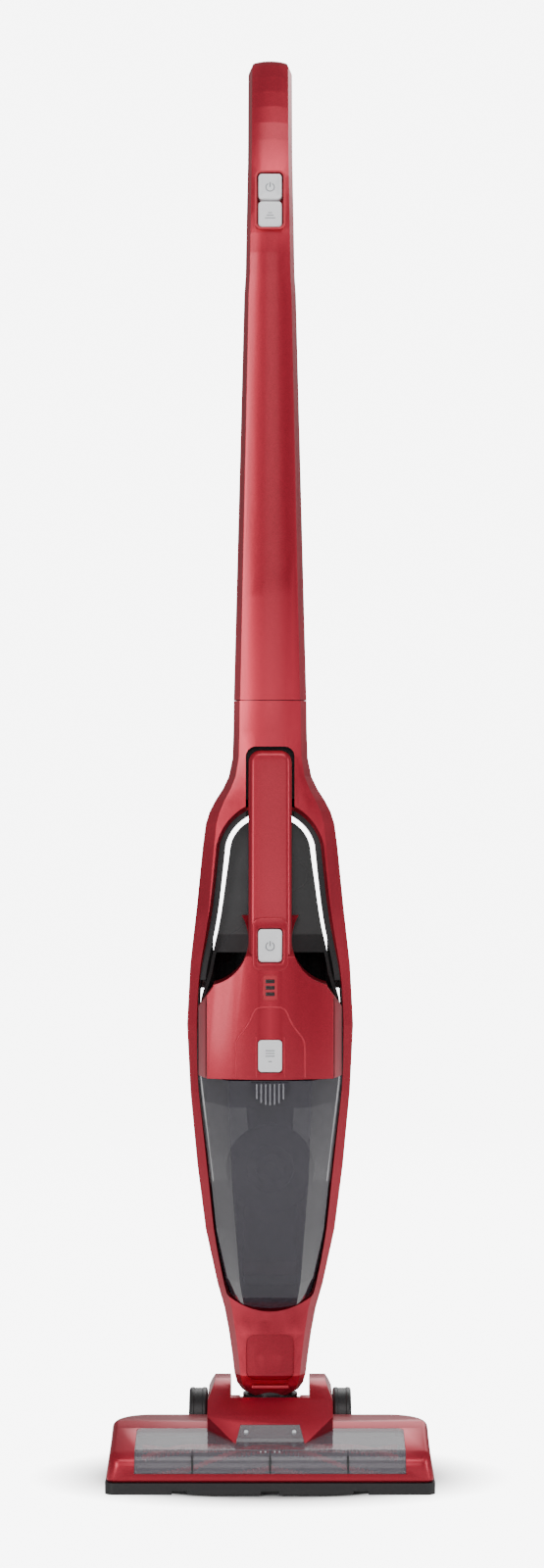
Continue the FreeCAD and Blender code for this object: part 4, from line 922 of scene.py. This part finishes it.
# Headlight: a clear trapezoid lens with a white lamp at each end.
lens_clear = see_through("lens_clear", (0.32, 0.30, 0.32), (0.26, 0.25, 0.27), 0.08, 0.5)
lamp_white = surface("lamp_white", (0.86, 0.87, 0.9), (0.78, 0.8, 0.84), 0.25)
dress(lens_clear, "headlight_lens")
lamps = []
for x in (-19, 19):
    lamp = drum("lamp", (x, -45.6, 43.5), 2, 4.6, "Y", corners=24)
    pick(lamp, "FACE", lambda f: f.normal.y < -0.9)
    stepped(((0.92, -0.0006), (0.8, -0.0006), (0.55, -0.0004)), (x / 1000, 0, 0.0435))
    lamps.append(lamp)
fit(joined(*lamps), lamp_white, "nozzle", "lamp_white", "headlight_leds", smooth=60)

# ------------------------------------------------------------------ brush roll
# A grey core that carries four rows of red nylon tufts. Each row winds one way from the
# middle to the left and the other way to the right, so that the dust is swept inwards.
BRUSH_Y, BRUSH_Z = -52.0, 19.5
nylon_red = surface("nylon_red", (0.80, 0.04, 0.06), (0.66, 0.025, 0.04), 0.45)
dress(grey_moulding, "brush_core")
nothing_selected()
bpy.ops.mesh.primitive_cone_add(vertices=6, radius1=0.0014, radius2=0.0024, depth=0.0072,
                                location=(0, 0, 0.0119))
tuft = bpy.context.object
tuft.name = "brush_tufts"
bpy.ops.object.transform_apply(location=True, rotation=True, scale=True)
TUFTS, ROWS, ROW_END = 54, 4, 99
TWIST = 1.5
tuft_row = [tuft]
for row in range(ROWS):
    for count in range(TUFTS):
        if row == 0 and count == 0:
            continue
        x = -ROW_END + 2 * ROW_END * count / (TUFTS - 1)
        twist = math.radians(90 * row + TWIST * abs(x))
        copy = tuft.copy()
        copy.data = tuft.data.copy()
        bpy.context.collection.objects.link(copy)
        copy.matrix_world = (Matrix.Translation((x / 1000, BRUSH_Y / 1000, BRUSH_Z / 1000))
                             @ Matrix.Rotation(twist, 4, "X"))
        tuft_row.append(copy)
tuft.matrix_world = (Matrix.Translation((-ROW_END / 1000, BRUSH_Y / 1000, BRUSH_Z / 1000))
                     @ Matrix.Rotation(math.radians(TWIST * ROW_END), 4, "X"))
for copy in tuft_row:
    only(copy)
    bpy.ops.object.transform_apply(location=True, rotation=True, scale=True)
fit(joined(*tuft_row), nylon_red, "brush_roll", "red_bristle", "brush_bristles")

# ------------------------------------------------------------------ wheels
# Black wheels with a rubber tyre, grooved once round its tread, on a spoked hub, and small
# rollers under the front edge of the base.
WHEEL_Y, WHEEL_Z, WHEEL_X = 46.5, 31.5, 58.5
TYRE_RADIUS, HUB_RADIUS, ROLLER_RADIUS = 31.4, 25.4, 3.95
SPOKES = 6


def opened(piece, ring_shrink, centre):
    """Bore a drum right through: shrink both end faces, delete them and bridge the rims."""
    for end in (-1, 1):
        pick(piece, "FACE", lambda f: f.normal.x * end > 0.99 and len(f.verts) > 20)
        bpy.ops.mesh.extrude_region_move()
        bpy.ops.transform.resize(value=(1, ring_shrink, ring_shrink), center_override=centre)
        bpy.ops.mesh.delete(type="FACE")
    pick(piece, "EDGE", lambda e: e.is_boundary)
    bpy.ops.mesh.bridge_edge_loops()


tyre_rubber = surface("tyre_rubber", (0.014, 0.014, 0.015), (0.024, 0.024, 0.025), 0.4,
                      grain_scale=600, grain_height=0.25)
for side, name in ((-1, "right"), (1, "left")):
    centre = (side * WHEEL_X / 1000, WHEEL_Y / 1000, WHEEL_Z / 1000)
    tyre = drum("ribbed_tyre_" + name, (side * WHEEL_X, WHEEL_Y, WHEEL_Z), TYRE_RADIUS, 15,
                "X", 80)
    ease(tyre, 0.0022, 4, lambda e: e.calc_face_angle(0) > 1)
    opened(tyre, 25.5 / 29.2, centre)
    pick(tyre, "FACE", lambda f: abs(middle(f).x - centre[0]) < 0.0005
         and math.hypot(middle(f).y - centre[1], middle(f).z - centre[2]) > 0.03)
    bpy.ops.mesh.inset(thickness=0.0016)
    bpy.ops.mesh.inset(thickness=0.0005)
    bpy.ops.transform.resize(value=(1, 0.982, 0.982), center_override=centre)
    fit(tyre, tyre_rubber, "wheel_" + name, "soft_rubber", "tyre_" + name)

    hub = drum("spoked_hub_" + name, (side * WHEEL_X, WHEEL_Y, WHEEL_Z), HUB_RADIUS, 13,
               "X", 60)
    for end in (-1, 1):
        pick(hub, "FACE", lambda f: f.normal.x * end > 0.99 and len(f.verts) > 20)
        stepped(((0.9, 0), (0.97, -0.003 * end), (0.45, 0), (0.95, 0.0035 * end), (0.6, 0)),
                centre, "X")
    opened(hub, 0.62, centre)
    spokes = [hub]
    for count in range(SPOKES):
        spoke = slab("spoke", (-5.9, -1.3, 9), (5.9, 1.3, 22.4))
        ease(spoke, 0.0006, 2)
        turn = math.tau / SPOKES * count
        settle(spoke, Matrix.Translation(centre) @ Matrix.Rotation(turn, 4, "X"))
        spokes.append(spoke)
    fit(joined(*spokes), black_moulding, "wheel_" + name, "black_plastic", "wheel_hub_" + name)

    roller = drum("grooved_roller_" + name, (side * 60, -75, 4), ROLLER_RADIUS, 9.8,
                  "X", 28)
    ease(roller, 0.0008, 3, lambda e: e.calc_face_angle(0) > 1)
    opened(roller, 1.3 / 3.15, (side * 0.06, -0.075, 0.004))
    fit(roller, bumper_black, "roller_" + name, "black_plastic", "front_roller_" + name)
